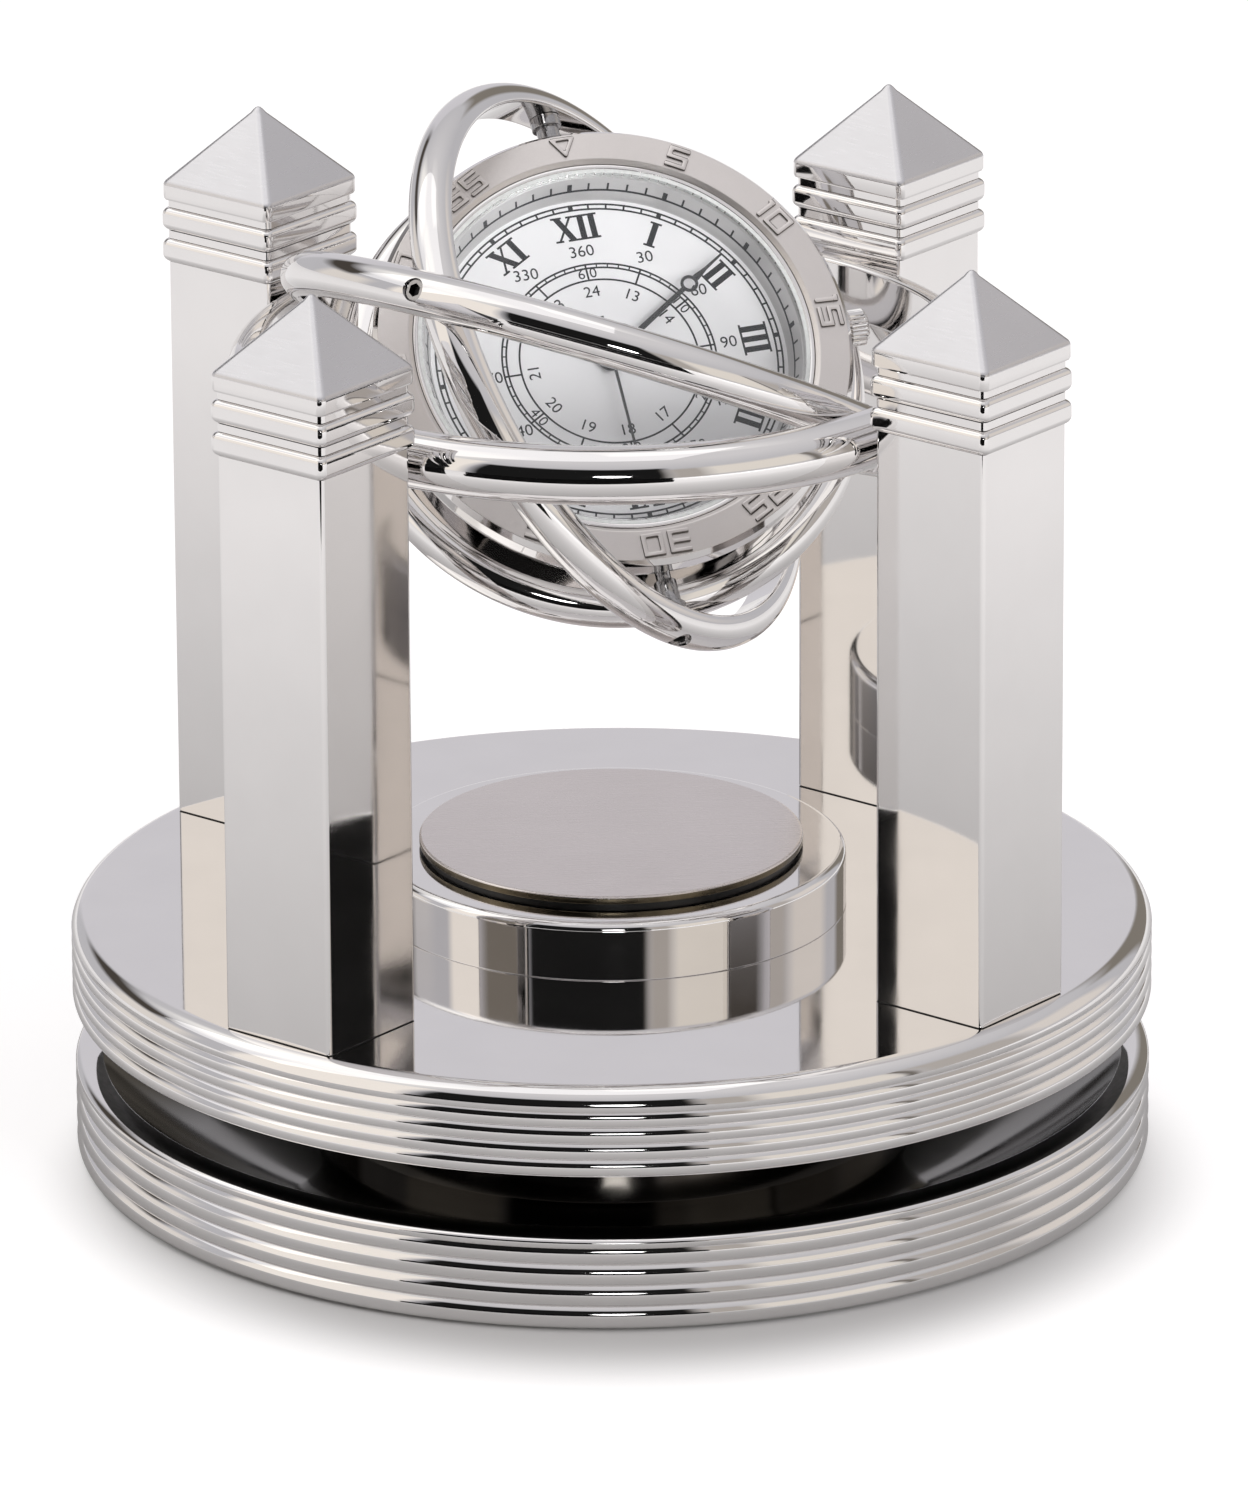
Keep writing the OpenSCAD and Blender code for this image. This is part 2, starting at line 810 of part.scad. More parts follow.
base_pad();
foot_ring();
pedestal();
pedestal_screws();
bearing_bush();
thrust_washer();
turntable_disc();
plinth();
plinth_screws();
name_plate();
spindle();
spindle_washer();
spindle_nut();
column_front_left();
column_front_right();
column_back_right();
column_back_left();
capital_front_left();
capital_front_right();
capital_back_right();
capital_back_left();
column_screws();
capital_studs();
fixed_ring();
ring_dowels();
fixed_pivots();
first_ring();
first_pivots();
second_ring();
second_pivots();
cradle_ring();
cradle_screws();
case();
case_back();
back_gasket();
movement_holder();
movement();
battery();
dial();
tick_flange();
crystal();
crystal_gasket();
bezel();
bezel_wire();
crown_tube();
setting_lever();
crown_stem();
crown();
hour_hand();
minute_hand();
second_hand();
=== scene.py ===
"""Dresses the gimbal clock: polished base, columns and rings, printed dial, hands and studio."""

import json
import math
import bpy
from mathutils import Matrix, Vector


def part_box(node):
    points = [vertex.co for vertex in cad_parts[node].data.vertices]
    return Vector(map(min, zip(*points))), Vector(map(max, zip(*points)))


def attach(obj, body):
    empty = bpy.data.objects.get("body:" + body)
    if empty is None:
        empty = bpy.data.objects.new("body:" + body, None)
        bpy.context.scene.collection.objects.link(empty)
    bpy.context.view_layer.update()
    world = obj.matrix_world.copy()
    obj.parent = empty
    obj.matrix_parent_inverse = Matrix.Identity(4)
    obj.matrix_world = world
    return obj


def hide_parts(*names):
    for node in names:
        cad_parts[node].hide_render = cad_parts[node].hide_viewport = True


bl_info = {
    "name": "Gimbal Clock",
    "version": (1, 0, 0),
    "blender": (4, 5, 0),
    "location": "3D View > Sidebar > Gimbal Clock",
    "description": "Builds the polished surfaces, dial print and studio of a gimbal desk clock",
    "category": "Object",
}

import bmesh
import bpy
from bpy.props import FloatProperty, FloatVectorProperty, PointerProperty
from mathutils import Matrix, Vector

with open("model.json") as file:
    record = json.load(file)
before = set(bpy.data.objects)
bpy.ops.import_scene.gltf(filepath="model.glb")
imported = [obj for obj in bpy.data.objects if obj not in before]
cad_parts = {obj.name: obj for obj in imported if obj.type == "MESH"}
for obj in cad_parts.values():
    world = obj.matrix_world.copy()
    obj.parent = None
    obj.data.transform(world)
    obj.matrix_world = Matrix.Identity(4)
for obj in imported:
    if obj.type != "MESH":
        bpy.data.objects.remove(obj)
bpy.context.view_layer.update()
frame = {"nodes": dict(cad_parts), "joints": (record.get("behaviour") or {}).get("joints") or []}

# Profiles and outlines are written in millimetres
MM = 0.001
JOINTS = {joint["name"]: joint for joint in frame["joints"]}


def axis(joint):
    """The direction that a joint turns about or slides along."""
    return Vector(JOINTS[joint]["axis"]).normalized()


def frame_of(x_axis, y_axis, origin):
    """The matrix from a frame with those two axes at origin to the row frame."""
    turn = Matrix((x_axis, y_axis, x_axis.cross(y_axis))).transposed()
    return Matrix.Translation(origin) @ turn.to_4x4()


# Each ring lies in the X and Y axes of its own frame, and the dial faces along the clock's Z
CENTRE = Vector(JOINTS["clock_tilt"]["pos_m"])
UPRIGHT = Matrix.Identity(4)
FIXED = Matrix.Translation(CENTRE)
FIRST = frame_of(axis("first_ring_tilt"), axis("second_ring_tilt"), CENTRE)
SECOND = frame_of(-axis("clock_tilt"), axis("second_ring_tilt"), CENTRE)
CLOCK = frame_of(axis("stem_pull"), axis("clock_tilt"), CENTRE)

# Angle of each column about the turntable's axis, in degrees from +X
COLUMNS = {"front_left": 225, "front_right": 315, "back_right": 45, "back_left": 135}

# Finishes that more than one piece has
CHROME = "buffed chrome plate"
BLASTED = "bead-blasted plate"
STEEL = "bright turned steel"
INK = "pad-printed ink"
# Two darks that paint shade: one in sockets, grooves, seams and under the disc, one on the dish and hub
SHADE_BLACK = "black for painted shade"
SHADE_PLATE = "dark plate for painted shade"

# Radius of the tiny face that closes a turned solid at its axis
AXIS = 0.01


def linear(hex_colour):
    """An sRGB hex colour as linear red, green and blue."""
    parts = [int(hex_colour[i : i + 2], 16) / 255 for i in (0, 2, 4)]
    return tuple(c / 12.92 if c <= 0.04045 else ((c + 0.055) / 1.055) ** 2.4 for c in parts)


def length(name, description, millimetres):
    """A size that a user can change."""
    return FloatProperty(
        name=name,
        description=description,
        default=millimetres * MM,
        min=0,
        subtype="DISTANCE",
        unit="LENGTH",
        precision=5,
    )


def colour(name, description, hex_colour):
    """A colour that a user can change."""
    return FloatVectorProperty(
        name=name,
        description=description,
        default=linear(hex_colour),
        size=3,
        min=0,
        max=1,
        subtype="COLOR",
    )


class GimbalClockSizes(bpy.types.PropertyGroup):
    """Sizes that the frame doesn't give."""

    edge_round: length("Edge rounding", "Radius along the polished edges", 0.2)
    ring_edge: length("Ring edge", "Radius along the inner edges of the rings", 0.4)
    minute_track: length("Minute track", "Outer radius of the dial's minute track", 18.5)
    track_width: length("Track width", "Width of the minute track", 0.75)
    numeral_ring: length("Numeral ring", "Radius through the middle of the hour numerals", 15.8)
    numeral_height: length("Numeral height", "Height of the hour numerals", 2.95)
    degree_ring: length("Degree ring", "Radius through the degree numbers", 12.95)
    second_track: length("Second track", "Outer radius of the inner track", 11.5)
    second_line: length("Second line", "Radius of the circle inside the inner track", 9.65)
    day_ring: length("Day ring", "Radius through the numbers from 13 to 24", 8.15)
    print_line: length("Print line", "Width of a printed line", 0.2)
    print_height: length("Print height", "Thickness of the print", 0.02)
    figure_ring: length("Figure ring", "Radius through the figures on the bezel", 23.35)
    figure_height: length("Figure height", "Height of the figures on the bezel", 2.6)
    figure_rise: length("Figure rise", "How far the figures stand up", 0.25)
    floor_width: length("Floor width", "Width of the studio floor", 9000)
    # Centre of the painted shadow on the floor, this far forward of the axis
    shadow_shift: length("Shadow shift", "How far the shadow lies forward of the axis", 12)


class GimbalClockColours(bpy.types.PropertyGroup):
    """Colours of the finishes and the studio."""

    chrome: colour("Chrome", "Buffed nickel-chrome plate", "edebea")
    satin: colour("Satin", "Satin nickel on the pyramids", "dbdadc")
    bezel: colour("Bezel", "Blasted face of the bezel", "e4dfdc")
    plate: colour("Plate", "Brushed centre plate", "e3dcd9")
    dial: colour("Dial", "Satin dial lacquer", "f3f1f3")
    flange: colour("Flange", "Silver lacquer of the tick flange", "cecccc")
    ink: colour("Ink", "Dial print", "14171d")
    felt: colour("Felt", "Felt under the foot", "1d1d1f")
    studio: colour("Studio", "Light walls of the studio", "c3c2c6")
    paper: colour("Paper", "White paper that the clock stands on", "fdfcfc")


def sizes():
    """The sizes that a user can change, in metres."""
    return bpy.context.scene.gimbal_clock_sizes


def colours():
    """The colours that a user can change, in linear light."""
    return bpy.context.scene.gimbal_clock_colours


def mm(value):
    """A property's metres in millimetres."""
    return value / MM


# Outlines and parts. A part is a list of points and a list of faces, in millimetres


def cad_points(node, where):
    """The vertices of a CAD node in a frame, in millimetres."""
    inverse = where.inverted()
    return [inverse @ v.co / MM for v in frame["nodes"][node].data.vertices]


def span(node, where):
    """Least and greatest radius, and lowest and highest point, of a CAD node in a frame."""
    points = cad_points(node, where)
    radii = [math.hypot(p.x, p.y) for p in points]
    heights = [p.z for p in points]
    return min(radii), max(radii), min(heights), max(heights)


def arc(x, y, radius, start, end, steps=12):
    """Points of an arc, with its angles in degrees from +X."""
    angles = [math.radians(start + (end - start) * i / steps) for i in range(steps + 1)]
    return [(x + radius * math.cos(a), y + radius * math.sin(a)) for a in angles]


def rounded(corners, steps=5):
    """A closed outline with round corners, each given as (x, y) or (x, y, radius)."""
    outline = []
    for i, corner in enumerate(corners):
        point = Vector(corner[:2])
        radius = corner[2] if len(corner) > 2 else 0
        if radius == 0:
            outline.append(tuple(point))
            continue
        before = (Vector(corners[i - 1][:2]) - point).normalized()
        after = (Vector(corners[(i + 1) % len(corners)][:2]) - point).normalized()
        half = before.angle(after) / 2
        middle = point + (before + after).normalized() * radius / math.sin(half)
        start = point + before * radius / math.tan(half) - middle
        end = point + after * radius / math.tan(half) - middle
        sweep = math.copysign(math.pi - 2 * half, start.x * end.y - start.y * end.x)
        for step in range(steps + 1):
            outline.append(tuple(middle + Matrix.Rotation(sweep * step / steps, 2) @ start))
    return outline


def ribs(radius, low, high, count, steps=10):
    """The edge of a stack of ribs, from the lowest up."""
    pitch = (high - low) / count
    # At half the pitch a rib would be a half round, and at this radius it is flatter
    rib = pitch * 0.72
    reach = math.degrees(math.asin(pitch / 2 / rib))
    points = []
    for i in range(count):
        points += arc(radius - rib, low + pitch * (i + 0.5), rib, -reach, reach, steps)
    return points


def circle(radius, height, count=216):
    """A level ring of points."""
    angles = [2 * math.pi * i / count for i in range(count)]
    return [(radius * math.cos(a), radius * math.sin(a), height) for a in angles]


def polygon_ring(sides, radius, height, count):
    """A level ring of points along a polygon with those corners."""
    wedge = 2 * math.pi / sides
    ring = []
    for i in range(count):
        angle = 2 * math.pi * i / count
        flat = radius * math.cos(wedge / 2) / math.cos(angle % wedge - wedge / 2)
        ring.append((flat * math.cos(angle), flat * math.sin(angle), height))
    return ring


def skinned(rings, looped=False):
    """A part that joins rings of as many points each, with its ends closed or joined up."""
    count = len(rings[0])
    points = [point for ring in rings for point in ring]
    faces = []
    for i in range(len(rings) if looped else len(rings) - 1):
        low = i * count
        high = (i + 1) % len(rings) * count
        for j in range(count):
            k = (j + 1) % count
            faces.append((low + j, low + k, high + k, high + j))
    if not looped:
        last = (len(rings) - 1) * count
        faces.append(tuple(range(count)))
        faces.append(tuple(range(last, last + count)))
    return points, faces


def turned(profile, count=216, solid=False):
    """A part turned about Z: a ring, or a solid whose profile starts and ends at the axis."""
    return skinned([circle(r, z, count) for r, z in profile], looped=not solid)


def prism(outline, low, high):
    """A part with a level outline, between two heights."""
    return skinned([[(x, y, z) for x, y in outline] for z in (low, high)])


def about_z(angle):
    """A turn about Z, in degrees."""
    return Matrix.Rotation(math.radians(angle), 4, "Z")


def moved(part, matrix):
    """A part in another place. The matrix is in millimetres."""
    points, faces = part
    return [tuple(matrix @ Vector(point)) for point in points], faces


def add_object(name, data):
    """Adds an object with that data to the scene."""
    thing = bpy.data.objects.new(name, data)
    bpy.context.scene.collection.objects.link(thing)
    return thing


def evaluated(thing):
    """A new mesh of an object, with its modifiers applied."""
    bpy.context.view_layer.update()
    depsgraph = bpy.context.evaluated_depsgraph_get()
    return bpy.data.meshes.new_from_object(thing.evaluated_get(depsgraph))


def from_curve(data):
    """A part made from a filled curve or a text."""
    source = add_object("outline", data)
    mesh = evaluated(source)
    part = [tuple(v.co) for v in mesh.vertices], [tuple(p.vertices) for p in mesh.polygons]
    bpy.data.objects.remove(source)
    bpy.data.meshes.remove(mesh)
    return part


def cut_out(loops, low, high, bevel):
    """A part cut from sheet along closed loops, the ones inside being holes, with a bevelled edge."""
    data = bpy.data.curves.new("sheet", "CURVE")
    data.dimensions = "2D"
    data.fill_mode = "BOTH"
    data.bevel_depth = bevel
    data.bevel_resolution = 1
    data.offset = -bevel
    data.extrude = (high - low) / 2 - bevel
    for loop in loops:
        spline = data.splines.new("POLY")
        spline.points.add(len(loop) - 1)
        spline.use_cyclic_u = True
        for point, (x, y) in zip(spline.points, loop):
            point.co = (x, y, 0, 1)
    part = from_curve(data)
    bpy.data.curves.remove(data)
    return moved(part, Matrix.Translation((0, 0, (low + high) / 2)))


# Size of Blender's own font over the height of its figures
FONT_SCALE = 1.42


def lettered(words, height, low, high):
    """A part with a line of figures, centred on the origin."""
    data = bpy.data.curves.new("figures", "FONT")
    data.body = words
    data.size = height * FONT_SCALE
    data.align_x = "CENTER"
    data.align_y = "CENTER"
    data.resolution_u = 4
    data.extrude = (high - low) / 2
    part = from_curve(data)
    bpy.data.curves.remove(data)
    return moved(part, Matrix.Translation((0, 0, (low + high) / 2)))


def mesh_of(name, parts, where):
    """Joins parts to one mesh, in the row frame."""
    points = []
    faces = []
    for part_points, part_faces in parts:
        first = len(points)
        points += [where @ (Vector(point) * MM) for point in part_points]
        faces += [[first + i for i in face] for face in part_faces]
    mesh = bpy.data.meshes.new(name)
    mesh.from_pydata(points, [], faces)
    work = bmesh.new()
    work.from_mesh(mesh)
    bmesh.ops.remove_doubles(work, verts=work.verts, dist=1e-7)
    bmesh.ops.recalc_face_normals(work, faces=work.faces)
    work.to_mesh(mesh)
    work.free()
    return mesh


def baked(piece):
    """Takes a piece's modifiers into its mesh."""
    mesh = evaluated(piece)
    piece.modifiers.clear()
    piece.data = mesh


def drill(piece, parts, where):
    """Cuts the parts out of a piece for good."""
    whole = len(piece.data.polygons)
    tool = add_object("drill", mesh_of("drill", parts, where))
    cutting = piece.modifiers.new("drill", "BOOLEAN")
    cutting.operation = "DIFFERENCE"
    cutting.solver = "EXACT"
    cutting.object = tool
    baked(piece)
    if len(piece.data.polygons) < whole / 2:
        raise RuntimeError(f"{piece.name} was lost when it was drilled")
    bpy.data.objects.remove(tool)


def build(name, parts, where, finish, body, replaced=(), holes=(), sharp=32):
    """Makes a piece, puts it on its body and hides the CAD nodes that it replaces."""
    piece = add_object(name, mesh_of(name, parts, where))
    piece.data.materials.append(finished(finish))
    if holes:
        drill(piece, holes, where)
    piece.data.polygons.foreach_set("use_smooth", [True] * len(piece.data.polygons))
    piece.data.set_sharp_from_angle(angle=math.radians(sharp))
    # Large faces lead the shading, so that they stay flat up to their round edges
    piece.modifiers.new("shading", "WEIGHTED_NORMAL").keep_sharp = True
    baked(piece)
    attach(piece, body)
    if replaced:
        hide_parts(*replaced)
    return piece


def second_finish(piece, finish, where, test):
    """Gives the faces whose middle passes a test, in a frame in millimetres, another finish."""
    piece.data.materials.append(finished(finish))
    inverse = where.inverted()
    for face in piece.data.polygons:
        if test(inverse @ face.center / MM, inverse.to_3x3() @ face.normal):
            face.material_index = len(piece.data.materials) - 1


# Finishes


def finished(name):
    """A finish by name."""
    material = bpy.data.materials.get(name)
    if material is None:
        raise RuntimeError(f"the finish {name} hasn't been mixed")
    return material


def add_node(tree, kind, settings=None, links=None):
    """Adds a node. Settings are its properties or input values, and links feed its inputs."""
    node = tree.nodes.new(kind)
    for key, value in (settings or {}).items():
        if isinstance(key, str) and hasattr(node, key):
            setattr(node, key, value)
        else:
            node.inputs[key].default_value = value
    for key, source in (links or {}).items():
        tree.links.new(source, node.inputs[key])
    return node


def blank(name):
    """The empty tree of a new material, and its object coordinates."""
    material = bpy.data.materials.new(name)
    material.use_nodes = True
    tree = material.node_tree
    tree.nodes.clear()
    where = add_node(tree, "ShaderNodeTexCoord").outputs["Object"]
    return tree, where


def grain(tree, where, size, stretch=(1, 1, 1), detail=3):
    """Noise whose grains are about size millimetres, stretched along the axes."""
    placed = add_node(tree, "ShaderNodeMapping", {"Scale": stretch}, {"Vector": where}).outputs[0]
    fineness = {"Scale": 1 / (size * MM), "Detail": detail}
    return add_node(tree, "ShaderNodeTexNoise", fineness, {"Vector": placed}).outputs["Fac"]


def product(tree, first, second):
    """The product of two values."""
    return add_node(tree, "ShaderNodeMath", {"operation": "MULTIPLY"}, {0: first, 1: second}).outputs[0]


# Noise seldom leaves this range
NOISE_RANGE = (0.3, 0.7)


def ranged(tree, value, low, high, from_low=NOISE_RANGE[0], from_high=NOISE_RANGE[1]):
    """A value taken from its own range, which is noise's unless stated, to another."""
    return add_node(
        tree,
        "ShaderNodeMapRange",
        {"From Min": from_low, "From Max": from_high, "To Min": low, "To Max": high},
        {"Value": value},
    ).outputs[0]


def tinted(tree, value, dark, light):
    """A colour between two, by a value."""
    ramp = add_node(tree, "ShaderNodeValToRGB", links={"Fac": value})
    for end, position, rgb in zip(ramp.color_ramp.elements, NOISE_RANGE, (dark, light)):
        end.position = position
        end.color = (*rgb, 1)
    return ramp.outputs["Color"]


def darker(rgb, share):
    """A colour with a share of its light."""
    return tuple(c * share for c in rgb)


def shades(rgb, share):
    """A colour with a share of its light, and the colour itself."""
    return darker(rgb, share), tuple(rgb)


def surface(tree, settings, links, height=None, relief=0.0):
    """The Principled surface of a material, with relief in millimetres from a height."""
    shader = add_node(tree, "ShaderNodeBsdfPrincipled", settings, links)
    if height is not None:
        depth = {"Strength": 1, "Distance": relief * MM}
        bump = add_node(tree, "ShaderNodeBump", depth, {"Height": height})
        tree.links.new(bump.outputs["Normal"], shader.inputs["Normal"])
    out = add_node(tree, "ShaderNodeOutputMaterial", links={"Surface": shader.outputs["BSDF"]})
    return shader, out


# Settings of a finish that is all metal
METAL = {"Metallic": 1}


def mix(name, settings, tints, fine, rough, relief, cloud=None):
    """A finish between two tints. Its fine grain roughens and raises it, and wider clouds may tint it."""
    tree, where = blank(name)
    texture = grain(tree, where, **fine)
    tinting = grain(tree, where, cloud) if cloud else texture
    links = {"Base Color": tinted(tree, tinting, *tints), "Roughness": ranged(tree, texture, *rough)}
    surface(tree, settings, links, texture, relief)


def mix_buffed_chrome():
    """Nickel-chrome plate on a buffed casting: a mirror with a faint polishing haze and soft waves."""
    tree, where = blank(CHROME)
    haze = grain(tree, where, 9)
    waves = grain(tree, where, 14, detail=1)
    tint = tinted(tree, haze, *shades(colours().chrome, 0.97))
    links = {"Base Color": tint, "Roughness": ranged(tree, haze, 0.025, 0.06)}
    surface(tree, METAL, links, waves, 0.01)


def mix_satin_nickel():
    """Satin nickel, rubbed level with fine paper: soft reflections and hair lines that barely show."""
    hair = {"size": 0.16, "stretch": (0.06, 0.06, 1), "detail": 4}
    tints = shades(colours().satin, 0.95)
    mix("brushed satin nickel", METAL, tints, hair, rough=(0.26, 0.34), relief=0.0004, cloud=12)


def mix_blasted_bezel():
    """Fine bead-blasted plate: an even, slightly rosy grey with a tiny sparkle."""
    beads = {"size": 0.16, "detail": 2}
    tints = shades(colours().bezel, 0.96)
    mix(BLASTED, METAL, tints, beads, rough=(0.34, 0.48), relief=0.004, cloud=6)


def mix_brushed_plate():
    """Straight-brushed nickel silver: fine lines from left to right, warmer than the chrome."""
    lines = {"size": 0.16, "stretch": (0.02, 1, 1), "detail": 4}
    tints = shades(colours().plate, 0.95)
    mix("straight-brushed nickel silver", METAL, tints, lines, rough=(0.24, 0.34), relief=0.0003, cloud=15)


def mix_turned_steel():
    """Bright turned steel of screws and pins: grey, with faint tool marks."""
    tints = (linear("9f9e9f"), linear("b0afb0"))
    mix(STEEL, METAL, tints, {"size": 0.2}, rough=(0.12, 0.2), relief=0.0004)


def mix_dial_lacquer():
    """Sprayed satin lacquer on the brass dial: white and even, with the faintest grain."""
    settings = {"Specular IOR Level": 0.4}
    tints = shades(colours().dial, 0.97)
    mix("satin dial lacquer", settings, tints, {"size": 0.12}, rough=(0.38, 0.5), relief=0.002, cloud=7)


def mix_flange_lacquer():
    """Silver lacquer on the slanted flange: half a metal, with a soft sheen."""
    tints = shades(colours().flange, 0.93)
    settings = {"Metallic": 0.5}
    mix("silver flange lacquer", settings, tints, {"size": 0.08}, rough=(0.3, 0.38), relief=0.0002)


def mix_dial_ink():
    """Pad-printed ink: blue-black, slightly glossy and a little uneven."""
    settings = {"Specular IOR Level": 0.2}
    tints = shades(colours().ink, 0.7)
    mix(INK, settings, tints, {"size": 0.5}, rough=(0.3, 0.5), relief=0.001)


def mix_hand_lacquer():
    """Stoved black lacquer on thin steel hands: deep and glossy, thinner along the edges."""
    settings = {"Coat Weight": 0.4, "Coat Roughness": 0.08}
    tints = (linear("0c0d10"), linear("1c1e24"))
    mix("stoved black lacquer", settings, tints, {"size": 1.5}, rough=(0.12, 0.24), relief=0.002)


def mix_mineral_glass():
    """Coated mineral glass of the crystal: clear, with faint sharp reflections. Lamps shine through it."""
    tree, where = blank("polished mineral glass")
    settings = {"Base Color": (*linear("fbfcfc"), 1), "Transmission Weight": 1}
    settings |= {"IOR": 1.5, "Specular IOR Level": 0.25}
    wipes = ranged(tree, grain(tree, where, 8), 0.0, 0.015)
    shader, out = surface(tree, settings, {"Roughness": wipes})
    clear = add_node(tree, "ShaderNodeBsdfTransparent", {"Color": (0.97, 0.98, 0.98, 1)})
    lamps = add_node(tree, "ShaderNodeLightPath").outputs["Is Shadow Ray"]
    parts = {0: lamps, 1: shader.outputs[0], 2: clear.outputs[0]}
    mixed = add_node(tree, "ShaderNodeMixShader", links=parts)
    tree.links.new(mixed.outputs[0], out.inputs["Surface"])


def mix_wool_felt():
    """Pressed wool felt: matt black with short fibres that catch a little light."""
    tree, where = blank("pressed wool felt")
    fibres = grain(tree, where, 0.5, detail=8)
    tint = tinted(tree, fibres, *shades(colours().felt, 0.5))
    settings = {"Roughness": 0.95, "Sheen Weight": 0.4, "Sheen Roughness": 0.5}
    surface(tree, settings, {"Base Color": tint}, fibres, 0.15)


# Finishes that are mixed alike: settings, dark and light shade, grain in millimetres, lowest and highest
# roughness, and relief in millimetres. The comment says what each gives the eye
PLAIN_FINISHES = {
    # Near black with a soft gloss: painted shade in the sockets, the plate's groove, the columns' seams and
    # under the disc
    SHADE_BLACK: ({}, "060606", "0e0e0e", 1.2, (0.3, 0.45), 0.006),
    # Side of the centre plate: darker and browner than its top
    "darker plate edge": (METAL, "5d5546", "6f6656", 2, (0.2, 0.3), 0.001),
    # A dark mirror, a little brown: painted shade on the dish and the hub under the turntable
    SHADE_PLATE: (METAL, "4c4945", "5c5955", 9, (0.06, 0.12), 0.004),
    # Sides of the bezel's figures: a darker grey round each bright top, painted shade
    "figure sides in painted shade": (METAL, "5f5b58", "7c7874", 0.4, (0.3, 0.45), 0.002),
    # Pressed and sintered: brown, with open pores
    "sintered bronze": (METAL, "8a6238", "b98a58", 0.25, (0.35, 0.55), 0.01),
    # Cut from rod: white and waxy
    "sawn PTFE": ({}, "dcdcd6", "f0f0ea", 0.4, (0.4, 0.55), 0.004),
    # Moulded: black and dull
    "moulded nitrile rubber": ({}, "111112", "1e1e20", 0.4, (0.5, 0.7), 0.01),
    # Moulded: off-white with a faint flow
    "moulded white acetal": ({}, "d2d2cd", "e6e6e1", 0.8, (0.35, 0.5), 0.004),
    # Plated and fine-grained: warm yellow
    "gilt movement brass": (METAL, "b89a52", "d9bd74", 0.5, (0.2, 0.35), 0.004),
    # Moulded: milky white
    "clear nylon gasket": ({}, "dcdedd", "ecefee", 0.5, (0.3, 0.45), 0.003),
}


def mix_plain_finishes():
    """Mixes the plastics, rubber, inner metals and the darks that paint shade."""
    for name, (settings, dark, light, size, rough, relief) in PLAIN_FINISHES.items():
        mix(name, settings, (linear(dark), linear(light)), {"size": size}, rough, relief)


class GIMBAL_CLOCK_OT_finishes(bpy.types.Operator):
    """Mix the finishes"""

    bl_idname = "gimbal_clock.finishes"
    bl_label = "Finishes"

    def execute(self, context):
        mix_buffed_chrome()
        mix_satin_nickel()
        mix_blasted_bezel()
        mix_brushed_plate()
        mix_turned_steel()
        mix_dial_lacquer()
        mix_flange_lacquer()
        mix_dial_ink()
        mix_hand_lacquer()
        mix_mineral_glass()
        mix_wool_felt()
        mix_plain_finishes()
        return {"FINISHED"}


# Base and turntable


# Width of the polished rim between the foot's side and its dish
RIM_LAND = 2.9
# Ribs round the foot and round the turntable
RIBS = 4


def foot_profile():
    """Section of the foot: ribbed outside, dished inside, with a recess for the felt."""
    pocket, rim, low, top = span("foot_ring", UPRIGHT)
    hub, floor = span("pedestal", UPRIGHT)[1:3]
    pad, _, pad_top = span("base_pad", UPRIGHT)[1:]
    recess = pad + 0.15
    # The rim falls away outward in a flat curve, wider than it is high, above the uppermost rib
    fall, roll = 2.3, 0.9
    outside = ribs(rim, low, top - roll - 0.2, RIBS) + arc(rim - roll, top - roll, roll, -48, 0)
    outside += [(rim + fall * (x - 1), top + roll * (y - 1)) for x, y in arc(0, 0, 1, 6, 90, 16)]
    # The dish is an arc that is level beside the hub
    dish_in, dish_out = hub + 2, rim - RIM_LAND
    dish = ((dish_out - dish_in) ** 2 + (top - floor) ** 2) / (2 * (top - floor))
    start = -math.degrees(math.acos((dish_out - dish_in) / dish))
    inside = arc(dish_in, floor + dish, dish, start, -90, 32)
    corners = [(pocket, pad_top), (recess, pad_top), (recess, low)]
    return rounded(corners + outside + [(*inside[0], 0.25)] + inside[1:] + [(pocket, floor)])


class GIMBAL_CLOCK_OT_foot(bpy.types.Operator):
    """Build the ribbed foot and the hub in its dish"""

    bl_idname = "gimbal_clock.foot"
    bl_label = "Foot"

    def execute(self, context):
        foot = turned(foot_profile())
        foot = build("foot", [foot], UPRIGHT, CHROME, "base", ["foot_ring"])
        bore, hub, low, top = span("pedestal", UPRIGHT)
        dish = span("foot_ring", UPRIGHT)[1] - RIM_LAND
        # The dish under the turntable is dark plate: painted shade between the foot and the disc
        second_finish(
            foot, SHADE_PLATE, UPRIGHT,
            lambda p, n: n.z > 0.01 and p.z > low - 0.01 and math.hypot(p.x, p.y) < dish,
        )
        # The hub tapers between two short straight steps
        step, neck, edge = 1.5, hub - 3, mm(sizes().edge_round)
        lower = [(bore, low), (hub, low), (hub, low + step, 0.5)]
        upper = [(neck, top - step, 0.5), (neck, top, edge), (bore, top)]
        hub_part = turned(rounded(lower + upper))
        # The hub is dark plate too: painted shade under the turntable
        build("hub", [hub_part], UPRIGHT, SHADE_PLATE, "base", ["pedestal"])
        return {"FINISHED"}


def disc_part(rim, low, top):
    """The turntable disc: ribs, a rolled lip above them and a wide round shoulder."""
    roll, shoulder = 1.2, 2.2
    roll_z = top - 1.8
    side = ribs(rim, low, roll_z - 0.6, RIBS) + arc(rim - roll, roll_z, roll, -50, 0)
    side += arc(rim - shoulder, top - shoulder, shoulder, 10.5, 90, 20)
    return turned([(AXIS, low), (rim - 2, low)] + side + [(AXIS, top)], solid=True)


